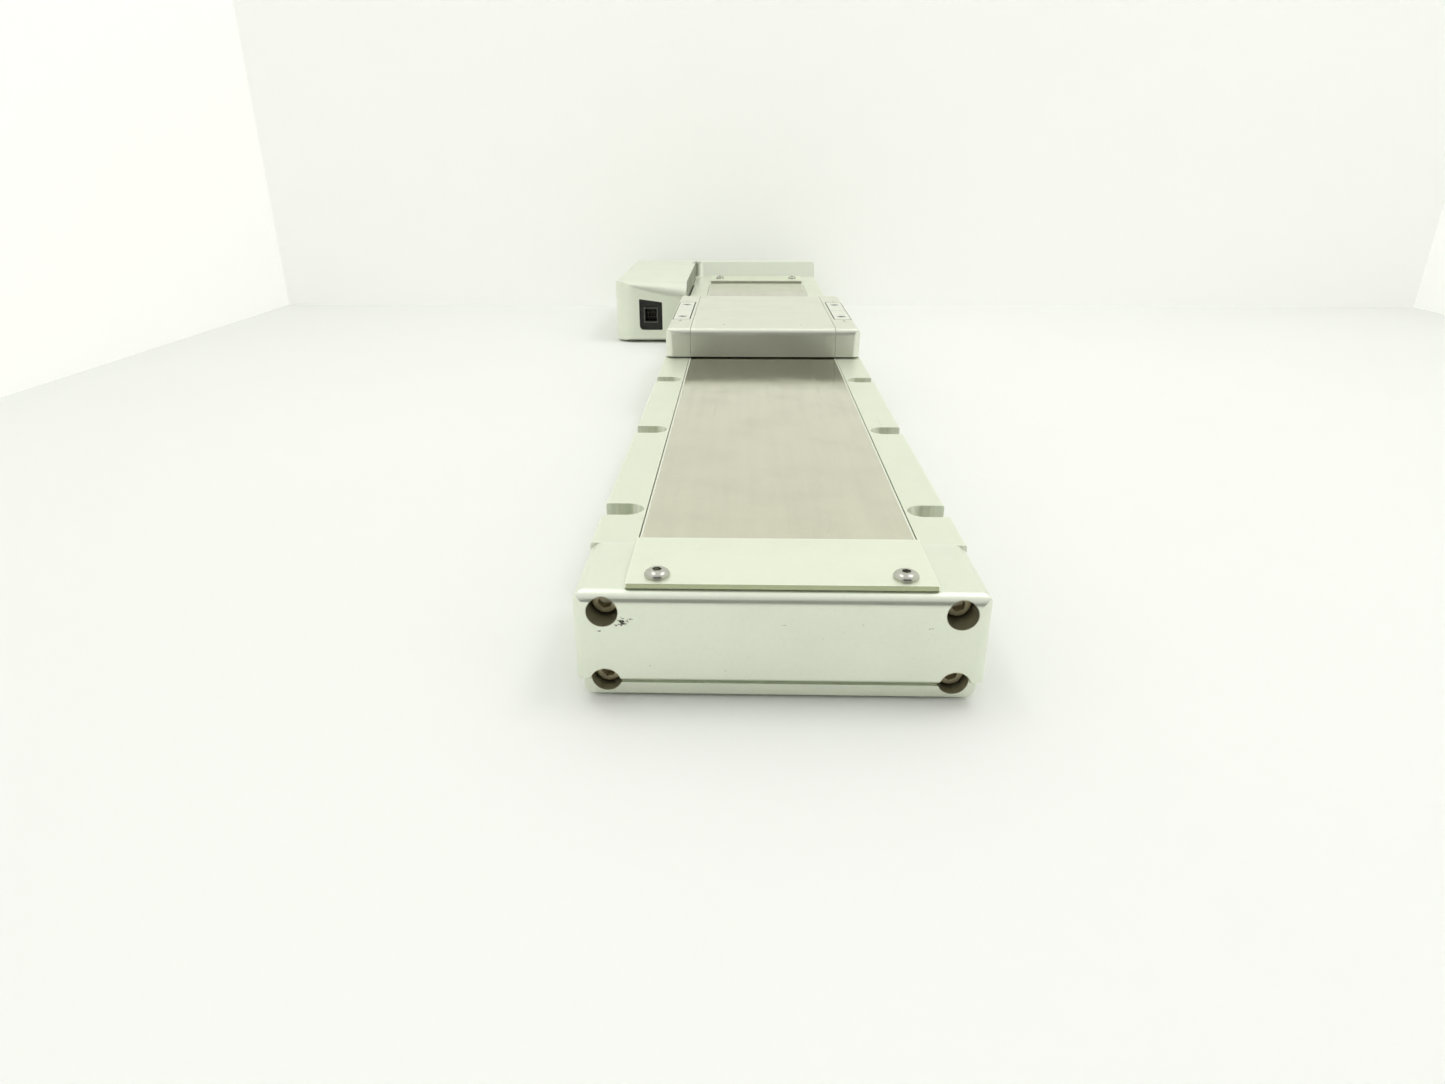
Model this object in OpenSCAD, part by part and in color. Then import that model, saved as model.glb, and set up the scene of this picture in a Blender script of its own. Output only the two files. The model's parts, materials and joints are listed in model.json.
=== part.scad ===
// Low-profile electric linear slide: a base rail with a ball screw and two guide
// rails inside, a stainless dust strip over them, a slider that the strip passes
// through, and a side motor that turns the screw by a belt under one cover.
// Millimetres. +Y runs along the rail to the drive end, +Z is up, and the origin
// lies on the underside at the middle of the rail.

/* [Rail] */
// Length of the base rail
rail_len = 630; // [530:10:830]
// Width of the base rail
rail_w = 120; // [119:0.5:124]
// Height of the base rail
rail_h = 35; // [34.5:0.25:38]
// Thickness of the rail's floor under the guides
floor_t = 6; // [5.5:0.25:6.5]
// Depth of the screw trough in the floor
trough_d = 2.5; // [1.5:0.25:3]
// Half width of the screw trough
trough_half = 20; // [19.5:0.1:20.5]
// Thickness of the lips over the channel
lip_t = 3; // [2:0.5:4]
// Reach of each lip over the channel
lip_reach = 2; // [1:0.25:2.5]
// Depth of the recess for the strip guides
recess_d = 3; // [2:0.5:4]
// Depth of the relief under the rail
relief_d = 1.5; // [0.5:0.25:2]
// Bevel along the rail's top edges
rail_bevel = 0.5; // [0.2:0.1:1]
// Height of the line groove in each side, above the underside
line_groove_z = 12; // [10:0.5:20]
// Width and depth of that line groove
line_groove = 1; // [0.5:0.1:1.5]

/* [Base bolts] */
// Width of each wrench pocket
pocket_w = 11; // [10.5:0.1:11.2]
// Distance from the rail's side to a pocket's bolt
pocket_in = 8.5; // [8:0.1:8.7]
// Height of the pocket floor above the underside
pocket_floor = 9; // [8:0.5:11]
// Distance between pockets along the rail
pocket_pitch = 100; // [80:5:120]
// Distance from the rail's front end to the first pocket
pocket_first = 30; // [28:1:40]
// Least distance from the last pocket to the drive end
pocket_last = 60; // [40:5:80]
// Diameter of the base bolt holes
base_hole_d = 6.6; // [5.5:0.1:7]

/* [Guides] */
// Distance from the middle to each guide rail
guide_x = 31; // [30.5:0.1:31.4]
// Width of a guide rail
guide_w = 12; // [10:0.5:13]
// Height of a guide rail
guide_h = 8; // [7:0.25:8.5]
// Distance from the end of the base rail to the end of a guide rail
guide_end = 10; // [5:1:14]
// Distance between guide rail screws
guide_pitch = 60; // [40:5:80]
// Width of a guide block
block_w = 22; // [21:0.1:22.2]
// Room at both ends of a guide block, along the carriage's centre block
block_spare = 2; // [1.5:0.25:4]
// Height of a guide block
block_h = 9.5; // [9:0.25:10]
// Gap under a guide block
block_lift = 3.5; // [3:0.25:4.5]
// Distance from a guide block's end to its screws
block_screw_in = 6.5; // [6:0.25:8]
// Thickness of a guide block's end cap
block_cap_t = 3; // [2:0.5:4]
// Gap between a guide block and the channel wall
block_gap = 0.5; // [0.3:0.1:1]

/* [Ball screw] */
// Diameter of the ball screw
screw_d = 15; // [14:0.5:16]
// Height of the screw axis
screw_z = 17.5; // [17.25:0.05:17.75]
// Diameter of the screw's journals
journal_d = 12; // [10:0.5:13]
// Outer diameter of the support bearings
bearing_d = 24; // [22:0.5:25]
// Width of a support bearing
bearing_w = 6; // [5:0.5:7]
// Distance from the housing's rear face to its bearings
bearing_in = 33; // [30:0.5:36]
// Diameter of the ball nut's body
nut_d = 26; // [24:0.5:26.5]
// Length of the ball nut
nut_l = 38; // [34:1:44]
// Diameter of the ball nut's flange
nut_flange_d = 36; // [34:0.5:37]
// Thickness of the ball nut's flange
nut_flange_t = 8; // [6:0.5:9]
// Thickness of the nut bracket
nut_bracket_t = 14; // [10:1:18]

/* [Carriage] */
// Position of the slider's middle along the rail at rest
slider_y = 42.5; // [-100:2.5:150]
// Gap between the carriage neck and each lip
neck_gap = 1.5; // [1:0.25:3]
// Distance from the end of a pad to the end of the carriage's centre block
table_in = 1; // [0:0.25:2]
// Distance from the rail's front end to the slider at its front stop
stop_front = 5; // [2:0.5:10]
// Reach of the slider past the rail's drive end at its rear stop
stop_rear = 17; // [10:0.5:18]
// Gap between the rail's top and the carriage wings
wing_gap = 1.2; // [0.8:0.1:1.4]
// Thickness of the carriage wings
wing_t = 3.3; // [3:0.1:3.5]
// Height of the roller brackets above the wings
bracket_rise = 2.5; // [2.2:0.1:3]
// Diameter of the roller pins
pin_d = 3; // [2.5:0.1:3.2]

/* [Dust strip] */
// Thickness of the dust strip
strip_t = 0.2; // [0.1:0.05:0.25]
// Width of a strip guide
strip_guide_w = 4.1; // [3.9:0.05:4.15]
// Groove between a strip guide and the rail
strip_guide_gap = 0.4; // [0.2:0.05:0.5]
// Bare edge of a strip guide beside the strip
strip_edge = 0.8; // [0.5:0.1:1.5]
// Rise of the strip over the carriage
strip_rise = 5.95; // [5.75:0.05:6.3]
// Distance from the slider's end to a press roller
press_in = 8; // [7:0.5:9]
// Distance from the slider's end to a lift roller
lift_in = 31.5; // [30:0.25:32]
// Diameter of a press roller
press_d = 6; // [5:0.25:6.5]
// Diameter of a lift roller
lift_d = 4.8; // [4.4:0.1:5]

/* [Slider cover] */
// Length of the slider
slider_l = 142; // [141:0.5:150]
// Height of the slider cover
cover_h = 17; // [16.5:0.25:20]
// Gap between the rail's top and the slider cover
cover_gap = 1; // [0.7:0.1:1.3]
// Distance from the rail's side to the slider's side
cover_in = 0.7; // [0.4:0.1:0.9]
// Wall of the slider covers
cover_wall = 2.1; // [1.6:0.1:2.2]
// Radius of the slider's top edges
cover_edge_r = 3; // [1:0.25:4]
// Radius of the slider's upright corners
cover_corner_r = 5; // [2:0.5:7]
// Width of the middle cover
mid_cover_w = 87.8; // [86:0.2:88.2]
// Gap between the slider covers
seam = 0.2; // [0.1:0.05:0.3]
// Depth and height of the ledge that carries the middle cover
cover_ledge = 2.4; // [1.8:0.1:3]

/* [Mounting pads] */
// Width of a mounting pad
pad_w = 10.4; // [9.6:0.1:10.6]
// Distance from the slider's end to a pad
pad_end = 35; // [34:0.5:36]
// Distance from the slider's side to the middle of a pad
pad_in = 7.6; // [7.5:0.05:7.8]
// Gap between a pad and the cover around it
pad_gap = 0.5; // [0.3:0.05:0.6]
// Distance from a pad's end to its tapped hole
pad_hole_in = 11; // [8:0.5:16]
// Diameter of a pad's tapped hole
pad_hole_d = 4.2; // [3.3:0.1:5]

/* [Front end cap] */
// Length of the front end cap
cap_len = 36; // [34:0.5:42]
// Reach of the cap past each side of the rail
cap_over = 0.2; // [0:0.1:1]
// Radius of the cap's upright and top edges
cap_edge_r = 4; // [2:0.5:5]
// Height of the cap's recessed foot
foot_h = 6.2; // [4:0.2:8]
// How far the foot's front is set back
foot_back = 3.1; // [1:0.1:5]
// How far the foot's sides are set in
foot_in = 2; // [1:0.1:3]
// Height of the groove between the end cap's face and its foot
foot_gap = 2.5; // [0.5:0.1:3]
// Distance from the rail's side to a cap screw
cap_screw_in = 8.6; // [8:0.1:9]
// Height of the lower cap screws
cap_screw_low = 5.6; // [5:0.1:6]
// Distance from the rail's top to the upper cap screws
cap_screw_drop = 6.2; // [5.5:0.1:7]
// Diameter of the cap's counterbores
cap_bore_d = 9.1; // [8.7:0.1:9.8]
// Depth of the cap's counterbores
cap_bore_deep = 12; // [8:0.5:14]

/* [Strip clamps] */
// Thickness of a clamp plate
clamp_t = 1.5; // [1:0.1:2.5]
// Distance from the cap's front to the front clamp plate
clamp_set = 2.5; // [1.5:0.25:4]
// Reach of the front clamp plate over the rail
clamp_lap = 0.5; // [0:0.25:2]
// Distance from the middle to a clamp screw
clamp_screw_x = 36; // [33:0.5:38]
// Distance from the front clamp plate's edge to its screws
clamp_screw_in = 6; // [5:0.25:8]
// Length of the rear clamp plate
clamp_rear_l = 40; // [36:1:42]

/* [Drive cover] */
// Height of the drive cover's top above the rail's top
drive_rise = 15; // [13:0.5:18]
// Gap between the drive cover and the floor
drive_lift = 1; // [0.8:0.1:1.5]
// Gap between the rail and the drive cover
drive_gap = 1; // [0.5:0.25:2]
// Width of the motor hood
hood_w = 63; // [60:0.5:70]
// Reach of the motor hood along the rail
hood_reach = 103; // [101:1:130]
// Length of the ledge behind the rail
ledge_l = 60; // [60:0.5:70]
// Depth of the belt housing at its foot
belt_house_l = 21; // [20.5:0.25:24]
// Lean of the belt housing's front
belt_lean = 8; // [4:0.5:9]
// Wall of the drive cover
drive_wall = 2.5; // [2:0.1:2.7]
// Radius of the drive cover's edges
drive_edge_r = 4; // [3:0.25:5]
// Radius of the hood's outer front corner
hood_corner_r = 17; // [10:1:19]
// Radius of the hollow where the hood meets the belt housing
hood_fillet_r = 8; // [4:0.5:10]
// Radius of the hood's outer top edge
hood_edge_r = 2.5; // [2:0.25:4]
// Radius of the hood's front top edge at its outer end
front_r_out = 1; // [0.5:0.25:3]
// Radius of the hood's front top edge at its inner end
front_r_in = 15; // [10:0.5:15.5]

/* [Connector] */
// Width of the connector window
conn_w = 19.9; // [18:0.1:21]
// Distance from the hood's inner side to the window
conn_in = 21.4; // [20:0.2:23]
// Height of the window's sill above the rail's underside
conn_z = 9.8; // [8:0.2:11]
// Height of the window at its inner side
conn_h = 23.7; // [22:0.1:24.5]
// Extra height of the window at its outer side
conn_slant = 2.7; // [0.5:0.1:3.5]
// Width of the square socket
socket_w = 12.2; // [11:0.1:13]
// Height of the square socket
socket_h = 13; // [12:0.1:14]
// Wall of the square socket
socket_wall = 1.4; // [1:0.1:1.6]

/* [Base plate] */
// Distance from the drive cover's sides to a base plate boss
boss_side = 8; // [7:0.5:9]
// Distance from the drive cover's front to its two front bosses
boss_front = 13; // [10:0.5:16]
// Distance from the rail's drive end to the boss beside it
boss_step = 25; // [20:1:30]
// Distance from the drive cover's back to its two rear bosses
boss_back = 10; // [8:0.5:11]
// Reach of a base plate screw into its boss
base_screw_l = 9; // [6:0.5:10]

/* [Motor and belt] */
// Distance from the hood's inner side to the motor axis
motor_in = 35; // [34:0.25:36]
// Height of the motor axis
motor_z = 23.5; // [23:0.1:24]
// Diameter of the motor body
motor_d = 38; // [34:0.5:39]
// Length of the motor body
motor_l = 76; // [60:1:80]
// Thickness of the motor flange
motor_flange_t = 6; // [4:0.5:7]
// Diameter of the encoder
encoder_d = 34; // [28:0.5:35]
// Length of the encoder
encoder_l = 30; // [24:1:32]
// Diameter of the motor shaft
motor_shaft_d = 8; // [6:0.5:9]
// Thickness of the motor bracket
motor_bracket_t = 6; // [5:0.5:6.5]
// Diameter of the pulleys at the belt
pulley_d = 23; // [21:0.5:24]
// Width of the belt
belt_w = 8; // [6:0.5:8.5]
// Thickness of the belt
belt_t = 1.6; // [1.2:0.1:2]

/* [Clearances] */
// Radial running clearance of shafts and pins
run_fit = 0.05; // [0.02:0.01:0.08]
// Radial clearance of pieces that are pressed or screwed in
seat_fit = 0.02; // [0.01:0.01:0.04]
// Gap between pieces that lie over each other
lay_gap = 0.05; // [0.02:0.01:0.08]
// Gap of a guide block on its rail
guide_fit = 0.1; // [0.05:0.01:0.2]
// Gap between pieces that are butted together
butt_gap = 0.2; // [0.1:0.05:0.3]

/* [Hidden] */
$fn = 48;
ARC_STEPS = 6;

rail_end = rail_len / 2;
rail_half = rail_w / 2;

cavity_half = guide_x + block_w / 2 + block_gap;
slot_half = cavity_half - lip_reach;
strip_guide_x = slot_half + strip_guide_w;
recess_half = strip_guide_x + strip_guide_gap;
strip_half = strip_guide_x - strip_edge;

pocket_x = rail_half - pocket_in;
pocket_n = floor((rail_len - pocket_first - pocket_last) / pocket_pitch) + 1;

guide_len = rail_len - 2 * guide_end;
guide_top = floor_t + guide_h;
guide_screw_n = floor((guide_len - 10) / guide_pitch) + 1;
block_z = floor_t + block_lift;
block_top = block_z + block_h;

// Socket screw sizes: shank diameter, head diameter, head height
M3 = [3, 5.5, 3];
M4 = [4, 7.6, 2.2];
M5 = [5, 8.5, 5];

strip_z = rail_h + lay_gap;
strip_top = strip_z + strip_t;
clamp_z = strip_top + lay_gap;
loop_z = strip_z + strip_rise;
press_y = slider_l / 2 - press_in;
lift_y = slider_l / 2 - lift_in;
loop_end = press_y + 3;
strip_arc_r = (pow(press_y - lift_y, 2) + pow(strip_rise, 2)) / (4 * strip_rise);

press_r = press_d / 2;
lift_r = lift_d / 2;
press_z = strip_top + lay_gap + press_r;
lift_z = loop_z - lay_gap - lift_r;
roller_half = strip_half - strip_edge;

cover_half = rail_half - cover_in;
cover_z = rail_h + cover_gap;
cover_top = cover_z + cover_h;
mid_half = mid_cover_w / 2;
pad_x = cover_half - pad_in;
pad_half_y = slider_l / 2 - pad_end;
pad_hole_y = pad_half_y - pad_hole_in;
pad_screw_y = pad_half_y / 3;
table_half_y = pad_half_y - table_in;
block_l = table_half_y - block_spare;
block_y = (table_half_y + table_in) / 2;
block_screw_y = block_l / 2 - block_screw_in;

neck_half = slot_half - neck_gap;
nut_flat = 2 * min(screw_z - (floor_t - trough_d) - 1, nut_d / 2 + 1);
tunnel_half = trough_half - 1;
tunnel_top = screw_z + max(nut_flat, nut_d) / 2 + 2;
wing_z = rail_h + wing_gap;
wing_top = wing_z + wing_t;
wing_half_x = pad_x + pad_w / 2;
arm_x = strip_half + strip_edge;
arm_top = wing_top + bracket_rise;
arm_end = press_y + 4;
bracket_start = pad_half_y + pad_gap;
pin_half = arm_x + 4.9;
cover_screw_x = wing_half_x - 4.7;
cover_screw_y = lift_y + 3;

// How far the slider can go from its place at rest, forward and back
travel_min = slider_l / 2 + stop_front - rail_end - slider_y;
travel_max = rail_end + stop_rear - slider_l / 2 - slider_y;

cap_front = -rail_end - cap_len;
cap_half = rail_half + cap_over;
cap_screw_x = rail_half - cap_screw_in;
cap_screw_top = rail_h - cap_screw_drop;
cap_hollow_half = clamp_screw_x - M4[0] - 1;

clamp_front_y0 = cap_front + clamp_set;
clamp_front_y1 = -rail_end + clamp_lap;
clamp_screw_front_y = clamp_front_y0 + clamp_screw_in;
clamp_rear_y1 = rail_end + ledge_l - 1.5;
clamp_rear_y0 = clamp_rear_y1 - clamp_rear_l;
clamp_screw_rear_y = (clamp_rear_y0 + clamp_rear_y1) / 2;

drive_z = drive_lift;
drive_top = rail_h + drive_rise;
hood_x1 = -rail_half - drive_gap;
hood_x0 = hood_x1 - hood_w;
hood_y0 = rail_end - hood_reach;
ledge_y0 = rail_end + butt_gap;
foot_y = rail_end + ledge_l;
drive_back = foot_y + belt_house_l;
lean_angle = atan(belt_lean / drive_rise);

house_y0 = rail_end + butt_gap;
house_y1 = foot_y - 2;
house_top = rail_h - drive_wall - butt_gap;
house_half = rail_half - drive_wall - 1.5;
house_flange_t = 12;
// The housing's screw heads are as wide as fits under the ledge's roof
house_head_d = 2 * (rail_h - drive_wall - cap_screw_top) - butt_gap;
bearing_y = house_y1 - bearing_in;
lock_nut_y = bearing_y + 2 * bearing_w + 2 * butt_gap;
front_bearing_y = -rail_end - 1.5 - bearing_w;

bracket_y0 = house_y1;
bracket_y1 = bracket_y0 + motor_bracket_t;
motor_x = hood_x1 - motor_in;
motor_y1 = bracket_y0;
motor_y0 = motor_y1 - motor_flange_t - motor_l;
encoder_y0 = motor_y0 - encoder_l;
pulley_y0 = bracket_y1 + 2;
pulley_y1 = pulley_y0 + belt_w + 2.5;
pulley_r = pulley_d / 2;

conn_x1 = hood_x1 - conn_in;
conn_x0 = conn_x1 - conn_w;
conn_y = hood_y0 + drive_wall + seat_fit;
socket_x = (conn_x0 + conn_x1) / 2;
socket_z = conn_z + conn_h / 2 + 0.85;
socket_deep = 8;

bumper_l = 10;
bumper_front_y = slider_y + travel_min - nut_l / 2 - 2 - bumper_l;
bumper_rear_y = slider_y + travel_max + nut_l / 2 + 2;
bumper_top = screw_z - screw_d / 2 - 0.5;

plate_bosses = [
    [hood_x0 + boss_side, hood_y0 + boss_front],
    [hood_x1 - boss_side, hood_y0 + boss_front],
    [hood_x1 - boss_side, rail_end + boss_step],
    [hood_x0 + boss_side, drive_back - boss_back],
    [rail_half - boss_side, drive_back - boss_back]
];

// ---- helpers ----

function unit(v) = v / norm(v);

// Points of the arc that rounds corner p between its neighbours a and b
function corner(a, p, b, r) =
    let (
        u = unit(a - p),
        w = unit(b - p),
        half = acos(u * w) / 2,
        c = p + unit(u + w) * r / sin(half),
        s = p + u * r / tan(half) - c,
        e = p + w * r / tan(half) - c,
        a0 = atan2(s.y, s.x),
        turn = atan2(e.y, e.x) - a0,
        sweep = turn > 180 ? turn - 360 : turn < -180 ? turn + 360 : turn
    )
    r <= 0 ? [p] : [
        for (i = [0 : ARC_STEPS])
            c + r * [cos(a0 + sweep * i / ARC_STEPS), sin(a0 + sweep * i / ARC_STEPS)]
    ];

// Outline with every corner rounded to its own radius
function rounded(pts, radii) =
    let (n = len(pts))
    [for (i = [0 : n - 1]) each corner(pts[(i + n - 1) % n], pts[i], pts[(i + 1) % n], radii[i])];

// Rectangle outline with radii for its corners, from the lower left anticlockwise
function box_outline(x0, y0, x1, y1, radii) =
    rounded([[x0, y0], [x1, y0], [x1, y1], [x0, y1]], radii);

// A flat shape in X and Z, drawn out along Y
module along_y(y0, y1) translate([0, y1, 0]) rotate([90, 0, 0]) linear_extrude(y1 - y0) children();

// A flat shape in Y and Z, drawn out along X
module along_x(x0, x1) translate([x0, 0, 0]) rotate([90, 0, 90]) linear_extrude(x1 - x0) children();

// A flat shape in X and Y, drawn out along Z
module along_z(z0, z1) translate([0, 0, z0]) linear_extrude(z1 - z0) children();

module block(x0, x1, y0, y1, z0, z1) translate([x0, y0, z0]) cube([x1 - x0, y1 - y0, z1 - z0]);

module rod_y(x, z, y0, y1, d) translate([x, y0, z]) rotate([-90, 0, 0]) cylinder(h = y1 - y0, d = d);

module rod_x(y, z, x0, x1, d) translate([x0, y, z]) rotate([0, 90, 0]) cylinder(h = x1 - x0, d = d);

module rod_z(x, y, z0, z1, d) translate([x, y, z0]) cylinder(h = z1 - z0, d = d);

module both_sides() {
    children();
    mirror([1, 0, 0]) children();
}

// Carriage pieces are drawn about the slider's middle
module at_slider() translate([0, slider_y, 0]) children();

module both_ends() {
    children();
    mirror([0, 1, 0]) children();
}

// ---- base rail and its guides ----

module rail_section() {
    difference() {
        polygon([
            [-rail_half, 0], [rail_half, 0],
            [rail_half, rail_h - rail_bevel], [rail_half - rail_bevel, rail_h],
            [rail_bevel - rail_half, rail_h], [-rail_half, rail_h - rail_bevel]
        ]);
        translate([-cavity_half, floor_t]) square([2 * cavity_half, rail_h - recess_d - lip_t - floor_t]);
        translate([-slot_half, floor_t]) square([2 * slot_half, rail_h]);
        translate([-recess_half, rail_h - recess_d]) square([2 * recess_half, rail_h]);
        translate([-trough_half, floor_t - trough_d]) square([2 * trough_half, rail_h]);
        both_sides() {
            translate([trough_half + 2, -1]) square([trough_half - 2, relief_d + 1]);
            translate([rail_half - line_groove, line_groove_z]) square([2, line_groove]);
        }
    }
}

module pocket_places() {
    for (i = [0 : pocket_n - 1]) translate([pocket_x, pocket_first + i * pocket_pitch - rail_end, 0]) children();
}

module cap_screw_places() {
    both_sides() for (z = [cap_screw_low, cap_screw_top]) translate([cap_screw_x, 0, z]) children();
}

module base_rail() color([0.86, 0.87, 0.83]) difference() {
    along_y(-rail_end, rail_end) rail_section();
    both_sides() pocket_places() {
        along_z(pocket_floor, rail_h + 1) {
            circle(d = pocket_w);
            translate([0, -pocket_w / 2]) square([rail_half, pocket_w]);
        }
        rod_z(0, 0, -1, rail_h, base_hole_d);
    }
    cap_screw_places() both_ends() rod_y(0, 0, -rail_end - 1, 20 - rail_end, M5[0] + 2 * seat_fit);
    both_sides() guide_screw_places() rod_z(0, 0, 0.8, floor_t + 1, M3[0] + 2 * seat_fit);
}

module guide_screw_places() {
    first = -(guide_screw_n - 1) * guide_pitch / 2;
    for (i = [0 : guide_screw_n - 1]) translate([guide_x, first + i * guide_pitch, 0]) children();
}

module guide_rail() {
    waist = guide_w / 2 - 1.2;
    difference() {
        along_y(-guide_len / 2, guide_len / 2) translate([guide_x, floor_t]) polygon([
            [-guide_w / 2, 0], [guide_w / 2, 0], [guide_w / 2, guide_h * 0.35],
            [waist, guide_h * 0.5], [waist, guide_h * 0.62], [guide_w / 2, guide_h * 0.77],
            [guide_w / 2, guide_h - 0.5], [guide_w / 2 - 0.5, guide_h],
            [0.5 - guide_w / 2, guide_h], [-guide_w / 2, guide_h - 0.5],
            [-guide_w / 2, guide_h * 0.77], [-waist, guide_h * 0.62],
            [-waist, guide_h * 0.5], [-guide_w / 2, guide_h * 0.35]
        ]);
        guide_screw_places() {
            rod_z(0, 0, 0, guide_top + 1, M3[0] + 2 * seat_fit);
            rod_z(0, 0, guide_top - M3[2] - 0.5, guide_top + 1, M3[1] + 0.5);
        }
    }
}

module guide_rail_left() color([0.62, 0.63, 0.64]) mirror([1, 0, 0]) guide_rail();
module guide_rail_right() color([0.62, 0.63, 0.64]) guide_rail();

module guide_rail_screws() color([0.3, 0.3, 0.31]) both_sides() guide_screw_places() {
    rod_z(0, 0, 1, guide_top - M3[2], M3[0]);
    rod_z(0, 0, guide_top - M3[2] - 0.5, guide_top - 0.5, M3[1]);
}

module strip_guide() {
    block(slot_half, strip_guide_x, -rail_end, rail_end, rail_h - recess_d, rail_h);
}

module strip_guide_left() color([0.88, 0.89, 0.84]) mirror([1, 0, 0]) strip_guide();
module strip_guide_right() color([0.88, 0.89, 0.84]) strip_guide();

// ---- front end cap ----

module cap_outer() {
    r = cap_edge_r;
    intersection() {
        along_z(0, rail_h) polygon(box_outline(-cap_half, cap_front, cap_half, -rail_end, [r, r, 0, 0]));
        along_y(cap_front, -rail_end) polygon(box_outline(-cap_half, foot_h, cap_half, rail_h, [1.2, 1.2, r, r]));
        along_x(-cap_half, cap_half) polygon(box_outline(cap_front, foot_h, -rail_end, rail_h, [1.2, 0, 0, r]));
    }
    along_y(cap_front + foot_back, -rail_end) polygon(box_outline(foot_in - cap_half, 0,
        cap_half - foot_in, foot_h + 2, [3, 3, 0, 0]));
}

module front_end_cap() color([0.81, 0.84, 0.77]) difference() {
    cap_outer();
    difference() {
        block(-cap_hollow_half, cap_hollow_half, cap_front + 10, 1 - rail_end, 8, rail_h - 5);
        rod_y(0, screw_z, cap_front, -rail_end - butt_gap, bearing_d + 6);
    }
    rod_y(0, screw_z, front_bearing_y - 1, -rail_end + 1, bearing_d + 2 * seat_fit);
    rod_y(0, screw_z, front_bearing_y - 5, -rail_end + 1, journal_d + 2);
    block(-cap_screw_x, cap_screw_x, cap_front - 1, cap_front + foot_back + 1.5, foot_h - foot_gap, foot_h);
    cap_screw_places() {
        rod_y(0, 0, cap_front - 1, cap_front + cap_bore_deep, cap_bore_d);
        rod_y(0, 0, cap_front - 1, 1 - rail_end, M5[0] + 0.5);
    }
    both_sides() rod_z(clamp_screw_x, clamp_screw_front_y, rail_h - 9, rail_h + 1, M4[0] + 2 * seat_fit);
}

module socket_screw_y(y_face, y_end, size) difference() {
    union() {
        rod_y(0, 0, y_face, y_face + size[2], size[1]);
        rod_y(0, 0, y_face, y_end, size[0]);
    }
    translate([0, y_face - 1, 0]) rotate([-90, 0, 0]) cylinder(h = size[2] * 0.6 + 1, d = size[0] * 0.92, $fn = 6);
}

module front_cap_screws() color([0.4, 0.4, 0.4]) cap_screw_places() {
    socket_screw_y(cap_front + cap_bore_deep - M5[2], 16 - rail_end, M5);
}

module front_bearing() color([0.7, 0.71, 0.72]) bearing_ring(front_bearing_y);

// A bearing drawn as one ring, grooved at its balls
module bearing_ring(y0) difference() {
    rod_y(0, screw_z, y0, y0 + bearing_w, bearing_d);
    rod_y(0, screw_z, y0 - 1, y0 + bearing_w + 1, journal_d + 2 * run_fit);
    for (y = [y0 - 1, y0 + bearing_w - 0.4]) difference() {
        rod_y(0, screw_z, y, y + 1.4, bearing_d - 4);
        rod_y(0, screw_z, y, y + 1.4, journal_d + 4);
    }
}

// ---- strip clamps ----

module clamp_plate(y0, y1, screw_y) difference() {
    along_z(clamp_z, clamp_z + clamp_t) polygon(box_outline(-recess_half, y0, recess_half, y1, [1, 1, 1, 1]));
    both_sides() rod_z(clamp_screw_x, screw_y, rail_h, clamp_z + 10, M4[0] + 0.4);
}

module strip_clamp_front() color([0.92, 0.94, 0.87]) {
    clamp_plate(clamp_front_y0, clamp_front_y1, clamp_screw_front_y);
}

module strip_clamp_rear() color([0.92, 0.94, 0.87]) {
    clamp_plate(clamp_rear_y0, clamp_rear_y1, clamp_screw_rear_y);
}

// Button-head screw with a domed, hollowed head
module clamp_screw(y) {
    dome_r = (pow(M4[1] / 2, 2) + pow(M4[2], 2)) / (2 * M4[2]);
    seat = clamp_z + clamp_t;
    translate([clamp_screw_x, y, 0]) {
        difference() {
            intersection() {
                translate([0, 0, seat + M4[2] - dome_r]) sphere(r = dome_r);
                rod_z(0, 0, seat, seat + M4[2], M4[1]);
            }
            translate([0, 0, seat + M4[2] * 0.35]) cylinder(h = M4[2], d = 2.9, $fn = 6);
        }
        rod_z(0, 0, rail_h - 6, seat, M4[0]);
    }
}

module clamp_screws() color([0.55, 0.55, 0.54]) both_sides() {
    clamp_screw(clamp_screw_front_y);
    clamp_screw(clamp_screw_rear_y);
}

// ---- screw support at the drive end ----

module bearing_housing() color([0.72, 0.73, 0.72]) difference() {
    union() {
        block(-house_half, house_half, house_y0, house_y0 + house_flange_t, 0, house_top);
        block(house_head_d - cap_screw_x, cap_screw_x - house_head_d, house_y0, house_y1, 0, 3);
        block(-bearing_d / 2 - 6, bearing_d / 2 + 6, house_y0, house_y1, 0, house_top);
        block(-clamp_screw_x - 6, clamp_screw_x + 6, clamp_screw_rear_y - 8, clamp_screw_rear_y + 8,
            house_top - 12, house_top);
    }
    rod_y(0, screw_z, house_y0 - 1, house_y1 + 1, screw_d + 3);
    rod_y(0, screw_z, bearing_y, house_y1 + 1, bearing_d + 2 * seat_fit);
    cap_screw_places() rod_y(0, 0, house_y0 - 1, house_y0 + house_flange_t + 1, M5[0] + 0.5);
    both_sides() rod_z(clamp_screw_x, clamp_screw_rear_y, rail_h - 9, rail_h, M4[0] + 2 * seat_fit);
}

module housing_screws() color([0.4, 0.4, 0.4]) cap_screw_places() {
    rod_y(0, 0, house_y0 + house_flange_t, house_y0 + house_flange_t + M5[2], house_head_d);
    rod_y(0, 0, rail_end - 14, house_y0 + house_flange_t, M5[0]);
}

module rear_bearings() color([0.7, 0.71, 0.72]) {
    bearing_ring(bearing_y + butt_gap / 2);
    bearing_ring(bearing_y + bearing_w + butt_gap);
}

// ---- drive cover: hood over the motor, ledge behind the rail, belt housing ----

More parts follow.
